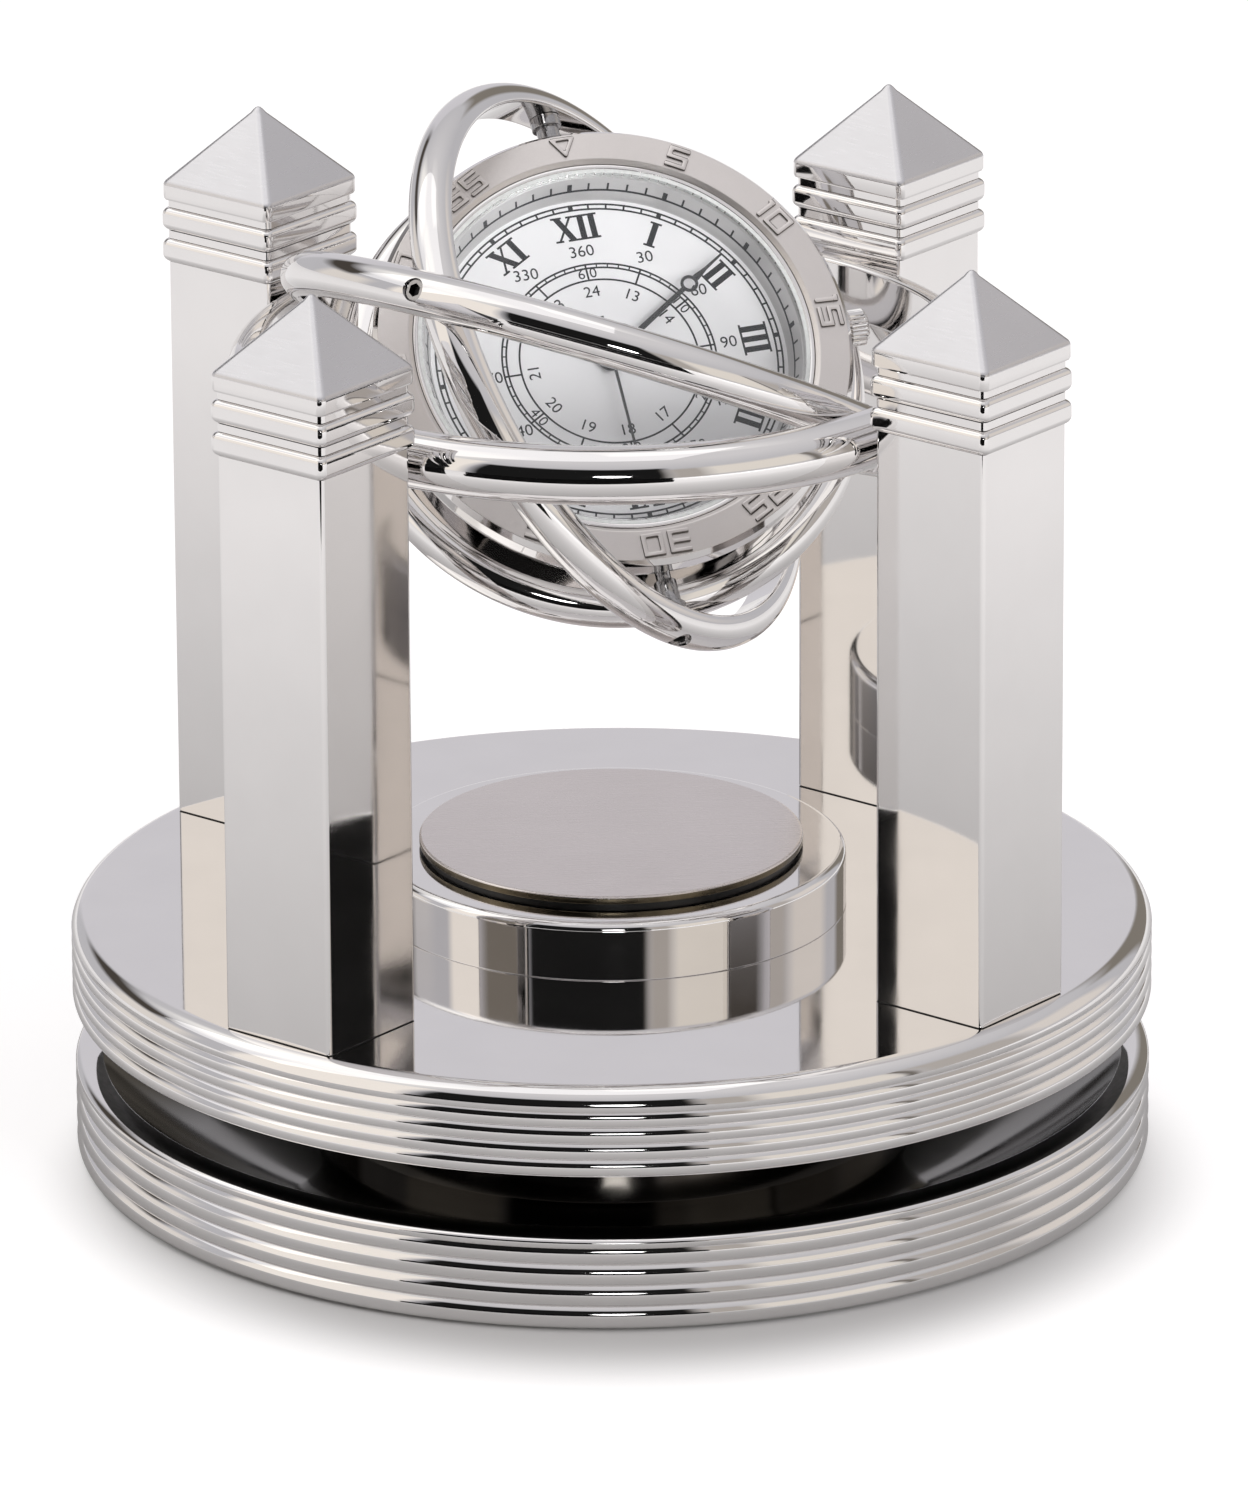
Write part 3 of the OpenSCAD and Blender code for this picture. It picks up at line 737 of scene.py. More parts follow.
class GIMBAL_CLOCK_OT_turntable(bpy.types.Operator):
    """Build the ribbed turntable disc, the plinth and its bare plate"""

    bl_idname = "gimbal_clock.turntable"
    bl_label = "Turntable"

    def execute(self, context):
        rim, low, top = span("turntable_disc", UPRIGHT)[1:]
        disc = disc_part(rim, low, top)
        disc = build("disc", [disc], UPRIGHT, CHROME, "turntable", ["turntable_disc"])
        # The disc's underside is black: painted shade under the turntable, which the dish mirrors
        second_finish(disc, SHADE_BLACK, UPRIGHT, lambda p, n: n.z < -0.97 and p.z < low + 0.01)

        radius, low, top = span("plinth", UPRIGHT)[1:]
        outline = [(AXIS, low), (radius, low, 0.12), (radius, top, 1.0), (AXIS, top)]
        plinth = turned(rounded(outline), solid=True)
        build("plinth_block", [plinth], UPRIGHT, CHROME, "turntable", ["plinth"])

        radius, low, top = span("name_plate", UPRIGHT)[1:]
        groove = 0.45
        foot = [(AXIS, low), (radius - groove, low), (radius - groove, low + groove)]
        head = [(radius, low + groove, 0.1), (radius, top, 0.3), (AXIS, top)]
        plate = turned(rounded(foot + head), solid=True)
        edge = "darker plate edge"
        plate = build("bare_plate", [plate], UPRIGHT, edge, "turntable", ["name_plate"])
        face = "straight-brushed nickel silver"
        second_finish(plate, face, UPRIGHT, lambda p, n: n.z > 0.2 and p.z > top - 0.4)
        # The groove under the plate is black: painted shade
        second_finish(plate, SHADE_BLACK, UPRIGHT, lambda p, n: p.z < low + groove + 0.02)
        return {"FINISHED"}


# Columns


def square(half, corner, height, steps=6):
    """A level square of points with round corners."""
    ring = rounded([(x * half, y * half, corner) for x, y in ((-1, -1), (1, -1), (1, 1), (-1, 1))], steps)
    return [(x, y, height) for x, y in ring]


# What a round corner of the CAD column takes off its half width
CORNER_LOSS = 0.15
SHAFT_CORNER = 0.5
# Seam under a shaft, black as painted shade: how far it lies in, and its height
SEAM_INSET = 0.1
SEAM_HEIGHT = 0.12
# Corner radius of the capitals and of their grooves, and the radius that rolls over the bands' edges
CAPITAL_CORNER = 0.8
GROOVE_CORNER = 0.7
BAND_ROLL = 0.8
# How far each part of a capital stands out past the shaft
BAND_REACH = 0.6
GROOVE_REACH = 0.1
PYRAMID_REACH = 0.5
# Foot and head of each band and the end of the groove over it, in heights above the shaft
BANDS = ((0, 2.65, 3.5), (3.51, 6.1, 6.85))
# Height in which a band gives way to a groove
STEP = 0.01
# Height of the eaves above the shaft, and how far below it their edge starts to roll inward
EAVES = 8.75
EAVES_ROLL = 0.3
# Skirt below the pyramid: inset, corner radius and height
SKIRT = ((0.35, 0.7, 0), (0.1, 0.8, 0.1), (0, 0.8, 0.35))
# Blunt tip of the pyramid: half width, corner radius and depth below the point
TIP = ((0.75, 0.55, 0.66), (0.5, 0.45, 0.3), (0.25, 0.24, 0.08), (0.05, 0.04, 0))


def shaft_part(half, low, high):
    """A square shaft that stands on a thin seam."""
    seam = low + SEAM_HEIGHT
    foot = [square(half - SEAM_INSET, SHAFT_CORNER - SEAM_INSET, z) for z in (low, seam)]
    return skinned(foot + [square(half, SHAFT_CORNER, z) for z in (seam, high)])


def band_squares(half, low, high):
    """Squares up a flat band whose edges are rolled over."""
    roll = BAND_ROLL
    side = arc(half - roll, low + roll, roll, -90, 0, 6) + arc(half - roll, high - roll, roll, 0, 90, 6)
    return [square(x, CAPITAL_CORNER, z) for x, z in side]


def pyramid_squares(half, low, eaves, top):
    """Squares up the pyramid: a plain skirt, rolled eaves, four faces and a blunt tip."""
    roll = 0.9
    slope = math.degrees(math.atan2(half, top - eaves))
    squares = [square(half - inset, corner, low + height) for inset, corner, height in SKIRT]
    edge = arc(half - roll, eaves - EAVES_ROLL, roll, 0, slope, 6)
    squares += [square(x, CAPITAL_CORNER, z) for x, z in edge]
    return squares + [square(reach, corner, top - depth) for reach, corner, depth in TIP]


def capital_part(half, base, top):
    """A capital on a shaft of that half width: two bands with a groove over each, then the pyramid."""
    squares = []
    for foot, head, groove_end in BANDS:
        squares += band_squares(half + BAND_REACH, base + foot, base + head)
        groove = half + GROOVE_REACH
        squares += [square(groove, GROOVE_CORNER, base + z) for z in (head + STEP, groove_end)]
    low = base + BANDS[-1][-1] + STEP
    return skinned(squares + pyramid_squares(half + PYRAMID_REACH, low, base + EAVES, top))


class GIMBAL_CLOCK_OT_columns(bpy.types.Operator):
    """Build the four square columns and their ribbed pyramid capitals"""

    bl_idname = "gimbal_clock.columns"
    bl_label = "Columns"

    def execute(self, context):
        for place, angle in COLUMNS.items():
            column, capital = f"column_{place}", f"capital_{place}"
            low, high = (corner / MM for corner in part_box(column))
            middle = (low + high) / 2
            where = Matrix.Translation(Vector((middle.x, middle.y, 0)) * MM) @ about_z(angle)
            half = span(column, where)[1] / math.sqrt(2) + CORNER_LOSS
            shaft = build(
                f"shaft_{place}", [shaft_part(half, low.z, high.z)], where, CHROME, "turntable",
                [column],
            )
            seam = low.z + SEAM_HEIGHT
            # The seam is black: painted shade where the shaft meets the turntable
            second_finish(shaft, SHADE_BLACK, where, lambda p, n, level=seam: p.z < level)
            pyramid = build(
                f"pyramid_{place}", [capital_part(half, high.z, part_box(capital)[1].z / MM)], where, CHROME,
                "turntable", [capital], sharp=40,
            )
            satin_from = high.z + EAVES - EAVES_ROLL
            second_finish(
                pyramid, "brushed satin nickel", where,
                lambda p, n, level=satin_from: p.z > level and n.z > 0.1,
            )
        return {"FINISHED"}


# Rings and pivots


def ring_part(inner, outer, tall, edge):
    """A ring with a flat inner face and a half-round outside, about its own middle."""
    half = tall / 2
    outside = arc(outer - half, 0, half, -89, 89, 26)
    return turned(rounded([(inner, half, edge), (inner, -half, edge)] + outside), 256)


def spoke(angle):
    """The turn from a part along +Z to one that points outward at an angle about Z."""
    return about_z(angle) @ Matrix.Rotation(math.radians(90), 4, "Y")


def rod(radius, low, high, edge=0.0):
    """A round bar along Z."""
    profile = [(radius - edge, low), (radius, low + edge), (radius, high - edge), (radius - edge, high)]
    return skinned([circle(r, z, 64) for r, z in profile])


# Pivot screws: radius of the head, of its hole, of the socket's corners and of the pin at the tip
SCREW = 1.2
SCREW_HOLE = 1.25
SOCKET = 0.7
PIN = 0.8
# How deep a head lies in its ring
HEAD_DEPTH = 0.4


def socket_screw(low, top, tip):
    """A grub screw along Z with a hexagon socket, and a pivot tip at its other end."""
    count = 72
    chamfer, bevel, depth = 0.1, 0.14, 0.9
    rings = [circle(PIN - chamfer, tip, count), circle(PIN, tip + chamfer, count)]
    rings += [circle(PIN, low, count), circle(SCREW, low, count)]
    rings += [circle(SCREW, top - bevel, count), circle(SCREW - bevel, top, count)]
    rings += [polygon_ring(6, SOCKET + 0.04, top, count), polygon_ring(6, SOCKET, top - 0.06, count)]
    rings += [polygon_ring(6, SOCKET, top - depth, count), circle(0.1, top - depth - 0.2, count)]
    return skinned(rings)


def pivot_screws(name, ring, where, angles, tip, body, node, extra=()):
    """Two screws through a ring, each with the extra parts that sit on it, and sockets painted black as
    shade.
    """
    inner, outer = span(ring, where)[:2]
    screw = socket_screw(inner + 0.1, outer - HEAD_DEPTH, tip)
    parts = [moved(part, spoke(angle)) for part in (screw, *extra) for angle in angles]
    screws = build(name, parts, where, STEEL, body, [node])

    def in_socket(p, n):
        aside, along = sorted((abs(p.x), abs(p.y)))
        return outer - 2 < along < outer - HEAD_DEPTH - 0.01 and math.hypot(aside, p.z) < SOCKET + 0.03

    # The sockets are black: painted shade in the hexagon recesses
    second_finish(screws, SHADE_BLACK, where, in_socket)


# Rings: piece, node, frame, body, and the angles of the screws through it
RINGS = (
    ("fixed_hoop", "fixed_ring", FIXED, "turntable", ()),
    ("first_hoop", "first_ring", FIRST, "first_swing", (90, 270)),
    ("second_hoop", "second_ring", SECOND, "second_swing", (0, 180)),
)


class GIMBAL_CLOCK_OT_rings(bpy.types.Operator):
    """Build the fixed ring and the two swinging rings"""

    bl_idname = "gimbal_clock.rings"
    bl_label = "Rings"

    def execute(self, context):
        edge = mm(sizes().ring_edge)
        for name, node, where, body, screws in RINGS:
            inner, outer, low, high = span(node, where)
            holes = [moved(rod(SCREW_HOLE, inner - 2, outer + 1), spoke(angle)) for angle in screws]
            part = ring_part(inner, outer, high - low, edge)
            build(name, [part], where, CHROME, body, [node], holes)
        return {"FINISHED"}


class GIMBAL_CLOCK_OT_pivots(bpy.types.Operator):
    """Build the pivot screws and pins of the rings"""

    bl_idname = "gimbal_clock.pivots"
    bl_label = "Pivots"

    def execute(self, context):
        inner, outer = span("second_ring", SECOND)[:2]
        tip = outer - 2
        pivot_screws("first_screws", "first_ring", FIRST, (90, 270), tip, "first_swing", "first_pivots")
        # The inner screws carry a stepped collar between their ring and the clock
        root, step, end = inner - 0.08, inner - 1.3, inner - 4
        shoulder, bevel = 1.6, 0.12
        stem = [(PIN, root), (PIN, end), (SCREW, end, bevel), (SCREW, step)]
        collar = turned(rounded(stem + [(shoulder, step, bevel), (shoulder, root)]), 72)
        tip = span("case", CLOCK)[1] - 2.7
        pivot_screws(
            "second_screws", "second_ring", SECOND, (0, 180), tip, "second_swing", "second_pivots", [collar]
        )
        return {"FINISHED"}


# Clock head


class GIMBAL_CLOCK_OT_case(bpy.types.Operator):
    """Build the case, its back and the cradle ring"""

    bl_idname = "gimbal_clock.case"
    bl_label = "Case"

    def execute(self, context):
        edge = mm(sizes().edge_round)
        bore, flange, low, top = span("case", CLOCK)
        # A straight skirt, a sloping shoulder, the flange and a thin neck
        skirt, slope, neck, ledge = flange - 1.3, flange - 0.3, bore + 0.5, 2.2
        outline = [(bore, low), (skirt, low, edge), (skirt, -1.6, 0.6), (slope, 0.7, 0.4)]
        outline += [(flange, 1.2, 0.3), (flange, ledge, edge), (neck, ledge)]
        outline += [(neck, top, 0.1), (bore, top, 0.1)]
        body = turned(rounded(outline))
        build("body", [body], CLOCK, CHROME, "clock", ["case"])

        radius, back, front = span("case_back", CLOCK)[1:]
        plug = bore - 0.1
        outline = [(AXIS, front), (plug, front), (plug, low), (radius, low), (radius, low - 0.9, 0.3)]
        outline += [(radius - 1.3, back + 0.3, 0.6), (AXIS, back)]
        lid = turned(rounded(outline), solid=True)
        build("lid", [lid], CLOCK, CHROME, "clock", ["case_back"])

        inner, outer, low, _ = span("cradle_ring", CLOCK)
        tall, wall, lip_top = 4.8, 3.0, low + 1
        hoop = ring_part(outer - wall, outer, tall, mm(sizes().ring_edge))
        lip_out = outer - wall + 0.3
        lip = turned([(inner, low), (lip_out, low), (lip_out, lip_top), (inner, lip_top)])
        parts = [moved(hoop, Matrix.Translation((0, 0, low + tall / 2))), lip]
        build("cradle", parts, CLOCK, CHROME, "clock", ["cradle_ring"])
        return {"FINISHED"}


def knurl(radius, height, grooves, depth):
    """A level ring of points with that many shallow grooves, along Z."""
    ring = []
    for x, y, z in circle(1, height, grooves * 8):
        wave = 0.5 + 0.5 * math.cos(grooves * math.atan2(y, x))
        reach = radius - depth * wave
        ring.append((reach * x, reach * y, z))
    return ring


class GIMBAL_CLOCK_OT_crown(bpy.types.Operator):
    """Build the knurled crown"""

    bl_idname = "gimbal_clock.crown"
    bl_label = "Crown"

    def execute(self, context):
        # The crown's axis lies a radius below its highest point
        crown_radius = 2
        level = span("crown", CLOCK)[3] - crown_radius
        where = CLOCK @ Matrix.Translation((0, 0, level * MM)) @ spoke(0)
        radius, low, high = span("crown", where)[1:]
        grooves, deep, shallow = 26, 0.2, 0.12
        count = grooves * 8
        girth = radius - 0.05
        rings = [circle(radius - 0.5, low, count), circle(radius - 0.32, low + 0.12, count)]
        rings += [knurl(girth, low + 0.3, grooves, shallow), knurl(girth, low + 0.45, grooves, deep)]
        rings += [knurl(girth, high - 0.6, grooves, deep), knurl(girth, high - 0.42, grooves, shallow)]
        rings += [circle(radius - 0.35, high - 0.2, count), circle(radius - 0.6, high - 0.04, count)]
        rings += [circle(radius - 0.8, high, count)]
        build("crown_knob", [skinned(rings)], where, CHROME, "crown", ["crown"])
        return {"FINISHED"}


# Figures on the bezel, on a grid of three columns and five rows
FIGURES = {
    "0": ("111", "101", "101", "101", "111"),
    "1": ("11", "01", "01", "01", "01"),
    "2": ("111", "001", "111", "100", "111"),
    "3": ("111", "001", "111", "001", "111"),
    "4": ("101", "101", "111", "001", "001"),
    "5": ("111", "100", "111", "001", "111"),
}
# Width of a stroke, of a figure and of the gap between two
STROKE = 0.52
FIGURE_WIDTH = 2.35
FIGURE_GAP = 0.5
# Corner radius and bevel of the figures, and how deep they are rooted in the bezel
FIGURE_CORNER = 0.16
FIGURE_BEVEL = 0.12
FIGURE_ROOT = 0.1


def figure_loops(rows, height):
    """The outlines of a figure, chained from the edges of its filled cells, and its width."""
    full = len(rows[0]) == 3
    gap = (height - 3 * STROKE) / 2
    xs = [0, STROKE, FIGURE_WIDTH - STROKE, FIGURE_WIDTH] if full else [0, 0.5 * STROKE, 1.5 * STROKE]
    ys = [height, height - STROKE, height - STROKE - gap, height - 2 * STROKE - gap, STROKE, 0]
    filled = {(c, r) for r, row in enumerate(rows) for c, cell in enumerate(row) if cell == "1"}
    steps = {}
    for c, r in filled:
        sides = (
            ((c, r - 1), (c, r), (c + 1, r)),
            ((c + 1, r), (c + 1, r), (c + 1, r + 1)),
            ((c, r + 1), (c + 1, r + 1), (c, r + 1)),
            ((c - 1, r), (c, r + 1), (c, r)),
        )
        for neighbour, start, end in sides:
            if neighbour not in filled:
                steps[start] = end
    loops = []
    while steps:
        start = next(iter(steps))
        loop = [start]
        point = steps.pop(start)
        while point != start:
            loop.append(point)
            point = steps.pop(point)
        corners = []
        for i, (c, r) in enumerate(loop):
            before, after = loop[i - 1], loop[(i + 1) % len(loop)]
            if (before[0] == c) != (after[0] == c):
                corners.append((xs[c], ys[r], FIGURE_CORNER))
        loops.append(rounded(corners, 3))
    return loops, xs[-1]


def figure_parts(words, height, high):
    """Raised figures side by side, centred on the origin."""
    placed = []
    x = 0
    for sign in words:
        loops, wide = figure_loops(FIGURES[sign], height)
        placed.append((x, loops))
        x += wide + FIGURE_GAP
    shift = (x - FIGURE_GAP) / 2
    parts = []
    for start, loops in placed:
        part = cut_out(loops, -FIGURE_ROOT, high, FIGURE_BEVEL)
        parts.append(moved(part, Matrix.Translation((start - shift, -height / 2, 0))))
    return parts


def triangle_part(height, high):
    """The raised outline of a triangle that points inward."""
    half, corner = height * 0.58, 0.2
    outer = rounded([(-half, height / 2, corner), (half, height / 2, corner), (0, -height / 2, corner)], 3)
    # The hole is the triangle again, drawn in towards its middle
    middle, share = height * 0.18, 0.5
    inner = [(x * share, (y - middle) * share + middle) for x, y in outer]
    return cut_out([outer, inner], -FIGURE_ROOT, high, FIGURE_BEVEL)


class GIMBAL_CLOCK_OT_bezel(bpy.types.Operator):
    """Build the turning bezel and its raised figures"""

    bl_idname = "gimbal_clock.bezel"
    bl_label = "Bezel"

    def execute(self, context):
        bore, radius, low, top = span("bezel", CLOCK)
        # The blasted face slopes down outward between these radii
        inner, outer, drop = bore + 0.5, radius - 0.5, 0.3
        side = [(bore, low), (radius - 0.3, low, 0.15), (radius, low + 0.3, 0.15), (radius, top - 1, 0.2)]
        face = [(outer, top - drop, 0.12), (inner, top, 0.25), (bore, top - 0.35, 0.15)]
        ring = turned(rounded(side + face))
        ring = build("bezel_ring", [ring], CLOCK, CHROME, "bezel", ["bezel"])
        second_finish(
            ring, BLASTED, CLOCK, lambda p, n: n.z > 0.1 and math.hypot(p.x, p.y) < outer + 0.05
        )

        height, reach, rise = mm(sizes().figure_height), mm(sizes().figure_ring), mm(sizes().figure_rise)
        parts = []
        for i in range(12):
            sign = figure_parts(str(5 * i), height, rise) if i else [triangle_part(height, rise)]
            place = about_z(-30 * i) @ Matrix.Translation((0, reach, 0))
            parts += [moved(part, place) for part in sign]
        slope = drop / (outer - inner)
        seated = []
        for points, faces in parts:
            on_face = [(x, y, z + top - slope * (math.hypot(x, y) - inner)) for x, y, z in points]
            seated.append((on_face, faces))
        # The figures' sides are darker grey, painted shade; their tops are blasted like the face
        figures = build("bezel_figures", seated, CLOCK, "figure sides in painted shade", "bezel")
        second_finish(figures, BLASTED, CLOCK, lambda p, n: n.z > 0.9)
        return {"FINISHED"}


# Dial. Angles run clockwise from 12, as on a clock


def on_dial(angle, radius, turn=0.0):
    """The place of something at a clock angle, turned with its top outward and then by turn."""
    return about_z(-angle) @ Matrix.Translation((0, radius, 0)) @ about_z(turn)


# Width of the block at every fifth minute, and of the lines of the narrow inner track
BLOCK = 0.5
FINE_LINE = 0.14
# Height of the degrees, of the hours from 13 to 24 and of the seconds
DEGREE_HEIGHT = 1.3
DAY_HEIGHT = 1.25
SECOND_HEIGHT = 1.15
# How thick the print on the flange's wall is, and how deep it is rooted
WALL_PRINT = 0.03
WALL_ROOT = 0.05


def ring_line(radius, width, low, high):
    """A printed circle, measured to its outer edge."""
    return turned([(radius - width, low), (radius, low), (radius, high), (radius - width, high)], 180)


def tick(angle, inner, outer, width, low, high):
    """A printed radial line."""
    half = width / 2
    outline = [(-half, inner), (half, inner), (half, outer), (-half, outer)]
    return moved(prism(outline, low, high), about_z(-angle))


def wall_point(foot, head, share):
    """A point part of the way up a slanted wall, as radius and height."""
    return tuple(a + share * (b - a) for a, b in zip(foot, head))


def wall_line(foot, head):
    """A printed band round a slanted wall."""
    return turned([foot, head, (head[0] - WALL_PRINT, head[1]), (foot[0] - WALL_PRINT, foot[1])], 180)


def wall_tick(angle, width, foot, head):
    """A printed line up a slanted wall."""
    half = width / 2
    outline = ((-half, -WALL_PRINT), (half, -WALL_PRINT), (half, WALL_ROOT), (-half, WALL_ROOT))
    rings = [[(x, radius + y, height) for x, y in outline] for radius, height in (foot, head)]
    return moved(skinned(rings), about_z(-angle))


# Strokes of the hour numerals, as outlines in a letter one unit high
SERIF = 0.075
LETTERS = {
    "I": (0.42, (((0.1, 0), (0.32, 0), (0.32, 1), (0.1, 1)), ((0, 0), (0.42, 0), (0.42, SERIF), (0, SERIF)),
                 ((0, 1 - SERIF), (0.42, 1 - SERIF), (0.42, 1), (0, 1)))),
    "V": (0.88, (((0.06, 1), (0.3, 1), (0.55, 0), (0.41, 0)), ((0.7, 1), (0.79, 1), (0.52, 0), (0.43, 0)),
                 ((0, 1 - SERIF), (0.42, 1 - SERIF), (0.42, 1), (0, 1)),
                 ((0.58, 1 - SERIF), (0.88, 1 - SERIF), (0.88, 1), (0.58, 1)))),
    "X": (0.88, (((0.06, 1), (0.3, 1), (0.83, 0), (0.59, 0)), ((0.68, 1), (0.77, 1), (0.2, 0), (0.11, 0)),
                 ((0, 1 - SERIF), (0.4, 1 - SERIF), (0.4, 1), (0, 1)),
                 ((0.56, 1 - SERIF), (0.86, 1 - SERIF), (0.86, 1), (0.56, 1)),
                 ((0.02, 0), (0.31, 0), (0.31, SERIF), (0.02, SERIF)),
                 ((0.48, 0), (0.88, 0), (0.88, SERIF), (0.48, SERIF)))),
}
NUMERALS = ("XII", "I", "II", "III", "IIII", "V", "VI", "VII", "VIII", "IX", "X", "XI")


def numeral(words, height, low, high):
    """An hour numeral with serifs, centred on the origin."""
    overlap = 0.02
    shift = sum(LETTERS[sign][0] - overlap for sign in words) / 2
    parts = []
    x = 0
    for sign in words:
        wide, strokes = LETTERS[sign]
        for stroke in strokes:
            outline = [((px + x - shift) * height, (py - 0.5) * height) for px, py in stroke]
            parts.append(prism(outline, low, high))
        x += wide - overlap
    return parts


def minute_scale(low, high):
    """Two circles with a line for every minute and a block for every five."""
    line = mm(sizes().print_line)
    radius = mm(sizes().minute_track)
    inner = radius - mm(sizes().track_width)
    parts = [ring_line(radius, line, low, high), ring_line(inner + line, line, low, high)]
    for minute in range(60):
        thick = line if minute % 5 else BLOCK
        parts.append(tick(6 * minute, inner, radius, thick, low, high))
    return parts


def second_scale(low, high):
    """The narrow inner track, the circle inside it and a long line every thirty degrees."""
    line = mm(sizes().print_line)
    radius = mm(sizes().second_track)
    inner = mm(sizes().second_line)
    parts = [ring_line(edge, line, low, high) for edge in (radius, radius - 0.45, inner)]
    for step in range(60):
        parts.append(tick(6 * step, radius - 0.5, radius, FINE_LINE, low, high))
    for step in range(12):
        parts.append(tick(30 * step, inner - line, radius, line, low, high))
    return parts


def dial_figures(low, high):
    """The degrees, the hours from 13 to 24 and the seconds, set round the dial."""
    s = sizes()
    parts = []
    for hour in range(1, 13):
        angle = 30 * hour
        # The degrees stand upright. The others have their tops outward, or inward in the lower half
        upside = 180 if 90 < angle < 270 else 0
        figures = [(str(angle), DEGREE_HEIGHT, mm(s.degree_ring), angle)]
        figures.append((str(12 + hour), DAY_HEIGHT, mm(s.day_ring), upside))
        if hour % 2 == 0:
            seconds = " ".join(str(5 * hour))
            figures.append((seconds, SECOND_HEIGHT, mm(s.second_line) + 0.65, upside))
        for words, height, radius, turn in figures:
            parts.append(moved(lettered(words, height, low, high), on_dial(angle, radius, turn)))
    return parts


class GIMBAL_CLOCK_OT_dial(bpy.types.Operator):
    """Build the dial and its print"""

    bl_idname = "gimbal_clock.dial"
    bl_label = "Dial"

    def execute(self, context):
        bore, radius, low, top = span("dial", CLOCK)
        plate = turned([(bore, low), (radius, low), (radius, top), (bore, top)])
        build("dial_plate", [plate], CLOCK, "satin dial lacquer", "clock", ["dial"])

        low, high = top - 0.01, top + mm(sizes().print_height)
        numerals = []
        for hour, words in enumerate(NUMERALS):
            place = on_dial(30 * hour, mm(sizes().numeral_ring))
            parts = numeral(words, mm(sizes().numeral_height), low, high)
            numerals += [moved(part, place) for part in parts]
        tracks = minute_scale(low, high) + second_scale(low, high)
        build("dial_tracks", tracks, CLOCK, INK, "clock")
        build("dial_numerals", numerals, CLOCK, INK, "clock")
        build("dial_figures", dial_figures(low, high), CLOCK, INK, "clock")
        return {"FINISHED"}


class GIMBAL_CLOCK_OT_flange(bpy.types.Operator):
    """Build the slanted flange with its ticks, and the crystal over the dial"""

    bl_idname = "gimbal_clock.flange"
    bl_label = "Flange and crystal"

    def execute(self, context):
        inner, outer, low, top = span("tick_flange", CLOCK)
        rim = 20.0
        flange = turned(rounded([(inner, low), (outer, low), (outer, top), (rim, top, 0.12)]))
        build("flange", [flange], CLOCK, "silver flange lacquer", "clock", ["tick_flange"])
        # Ticks up the middle of the wall, with a band round their feet
        line, band_share = 0.22, 0.22
        foot, head = (wall_point((inner, low), (rim, top), share) for share in (0.42, 0.76))
        parts = [wall_line(foot, wall_point(foot, head, band_share))]
        for minute in range(60):
            parts.append(wall_tick(6 * minute, line if minute % 5 else BLOCK, foot, head))
        build("flange_ticks", parts, CLOCK, INK, "clock")

        radius, low, top = span("crystal", CLOCK)[1:]
        outline = [(AXIS, low), (radius, low, 0.08), (radius, top, 0.15), (AXIS, top)]
        glass = turned(rounded(outline), solid=True)
        build("glass", [glass], CLOCK, "polished mineral glass", "clock", ["crystal"])
        return {"FINISHED"}


# Hands: radius of the boss and of the pipe, then the arm's width and the place and radius of its ring
HANDS = {
    "hour": (1.4, 0.78, (0.76, 7.6, 1.05)),
    "minute": (1.1, 0.48, (0.66, 12.3, 0.95)),
    "second": (0.7, 0.18, None),
}
# Sheet that the hands are cut from: its thickness, and the bevel along its edges
HAND_SHEET = 0.22
HAND_BEVEL = 0.03


def ringed_hand(arm, ring_at, ring, tip):
    """The loops of a hand: an arm, an open ring and a long thin tip."""
    start, waist = 0.5, arm * 0.4
    side = [(arm / 2, start), (waist, ring_at - ring - 0.2)]
    neck = math.degrees(math.asin(waist / ring))
    side += arc(0, ring_at, ring, -90 + neck, 90 - neck * 1.3)
    # The tip runs out thin from the top of the ring
    top = ring_at + ring
    side += [(0.38, top + 0.1), (0.17, top + 1.6), (0.11, tip)]
    outline = side + [(-x, y) for x, y in reversed(side)]
    return [outline, arc(0, ring_at, ring - 0.32, 0, 351, 39)]


def needle(tip):
    """The loop of the thin second hand, with its tail."""
    tail, wide, narrow = -4.5, 0.17, 0.12
    return [[(-wide, tail), (wide, tail), (narrow, tip), (-narrow, tip)]]


class GIMBAL_CLOCK_OT_hands(bpy.types.Operator):
    """Build the hour, minute and second hand"""

    bl_idname = "gimbal_clock.hands"
    bl_label = "Hands"

    def execute(self, context):
        for name, (boss, pipe, ring) in HANDS.items():
            node = f"{name}_hand"
            low, top = span(node, CLOCK)[2:]
            points = cad_points(node, CLOCK)
            if ring:
                # The tip is the point of the CAD hand that lies furthest out
                tip = max(points, key=lambda p: math.hypot(p.x, p.y))
                angle = math.degrees(math.atan2(tip.x, tip.y))
                loops = ringed_hand(*ring, math.hypot(tip.x, tip.y))
            else:
                # The second hand points at six, and its tail is the wider end
                tip = min(points, key=lambda p: p.y)
                angle = 180
                loops = needle(math.hypot(tip.x, tip.y))
            blade = cut_out(loops, top - HAND_SHEET, top, HAND_BEVEL)
            parts = [blade, rod(boss, top - HAND_SHEET, top, 0.04), rod(pipe, low, top - 0.05)]
            where = CLOCK @ about_z(-angle)
            build(f"{name}_blade", parts, where, "stoved black lacquer", name, [node])
        return {"FINISHED"}


# What stays from the frame keeps its shape and gets a finish
CARRIED = {
    "pressed wool felt": ("base_pad",),
    "sintered bronze": ("bearing_bush",),
    "sawn PTFE": ("thrust_washer",),
    STEEL: (
        "pedestal_screws", "plinth_screws", "spindle", "spindle_washer", "spindle_nut", "column_screws",
        "capital_studs", "cradle_screws", "bezel_wire", "crown_stem", "battery",
    ),
    CHROME: ("ring_dowels", "fixed_pivots", "crown_tube"),
    "moulded nitrile rubber": ("back_gasket",),
    "moulded white acetal": ("movement_holder",),
    "gilt movement brass": ("movement", "setting_lever"),
    "clear nylon gasket": ("crystal_gasket",),
}


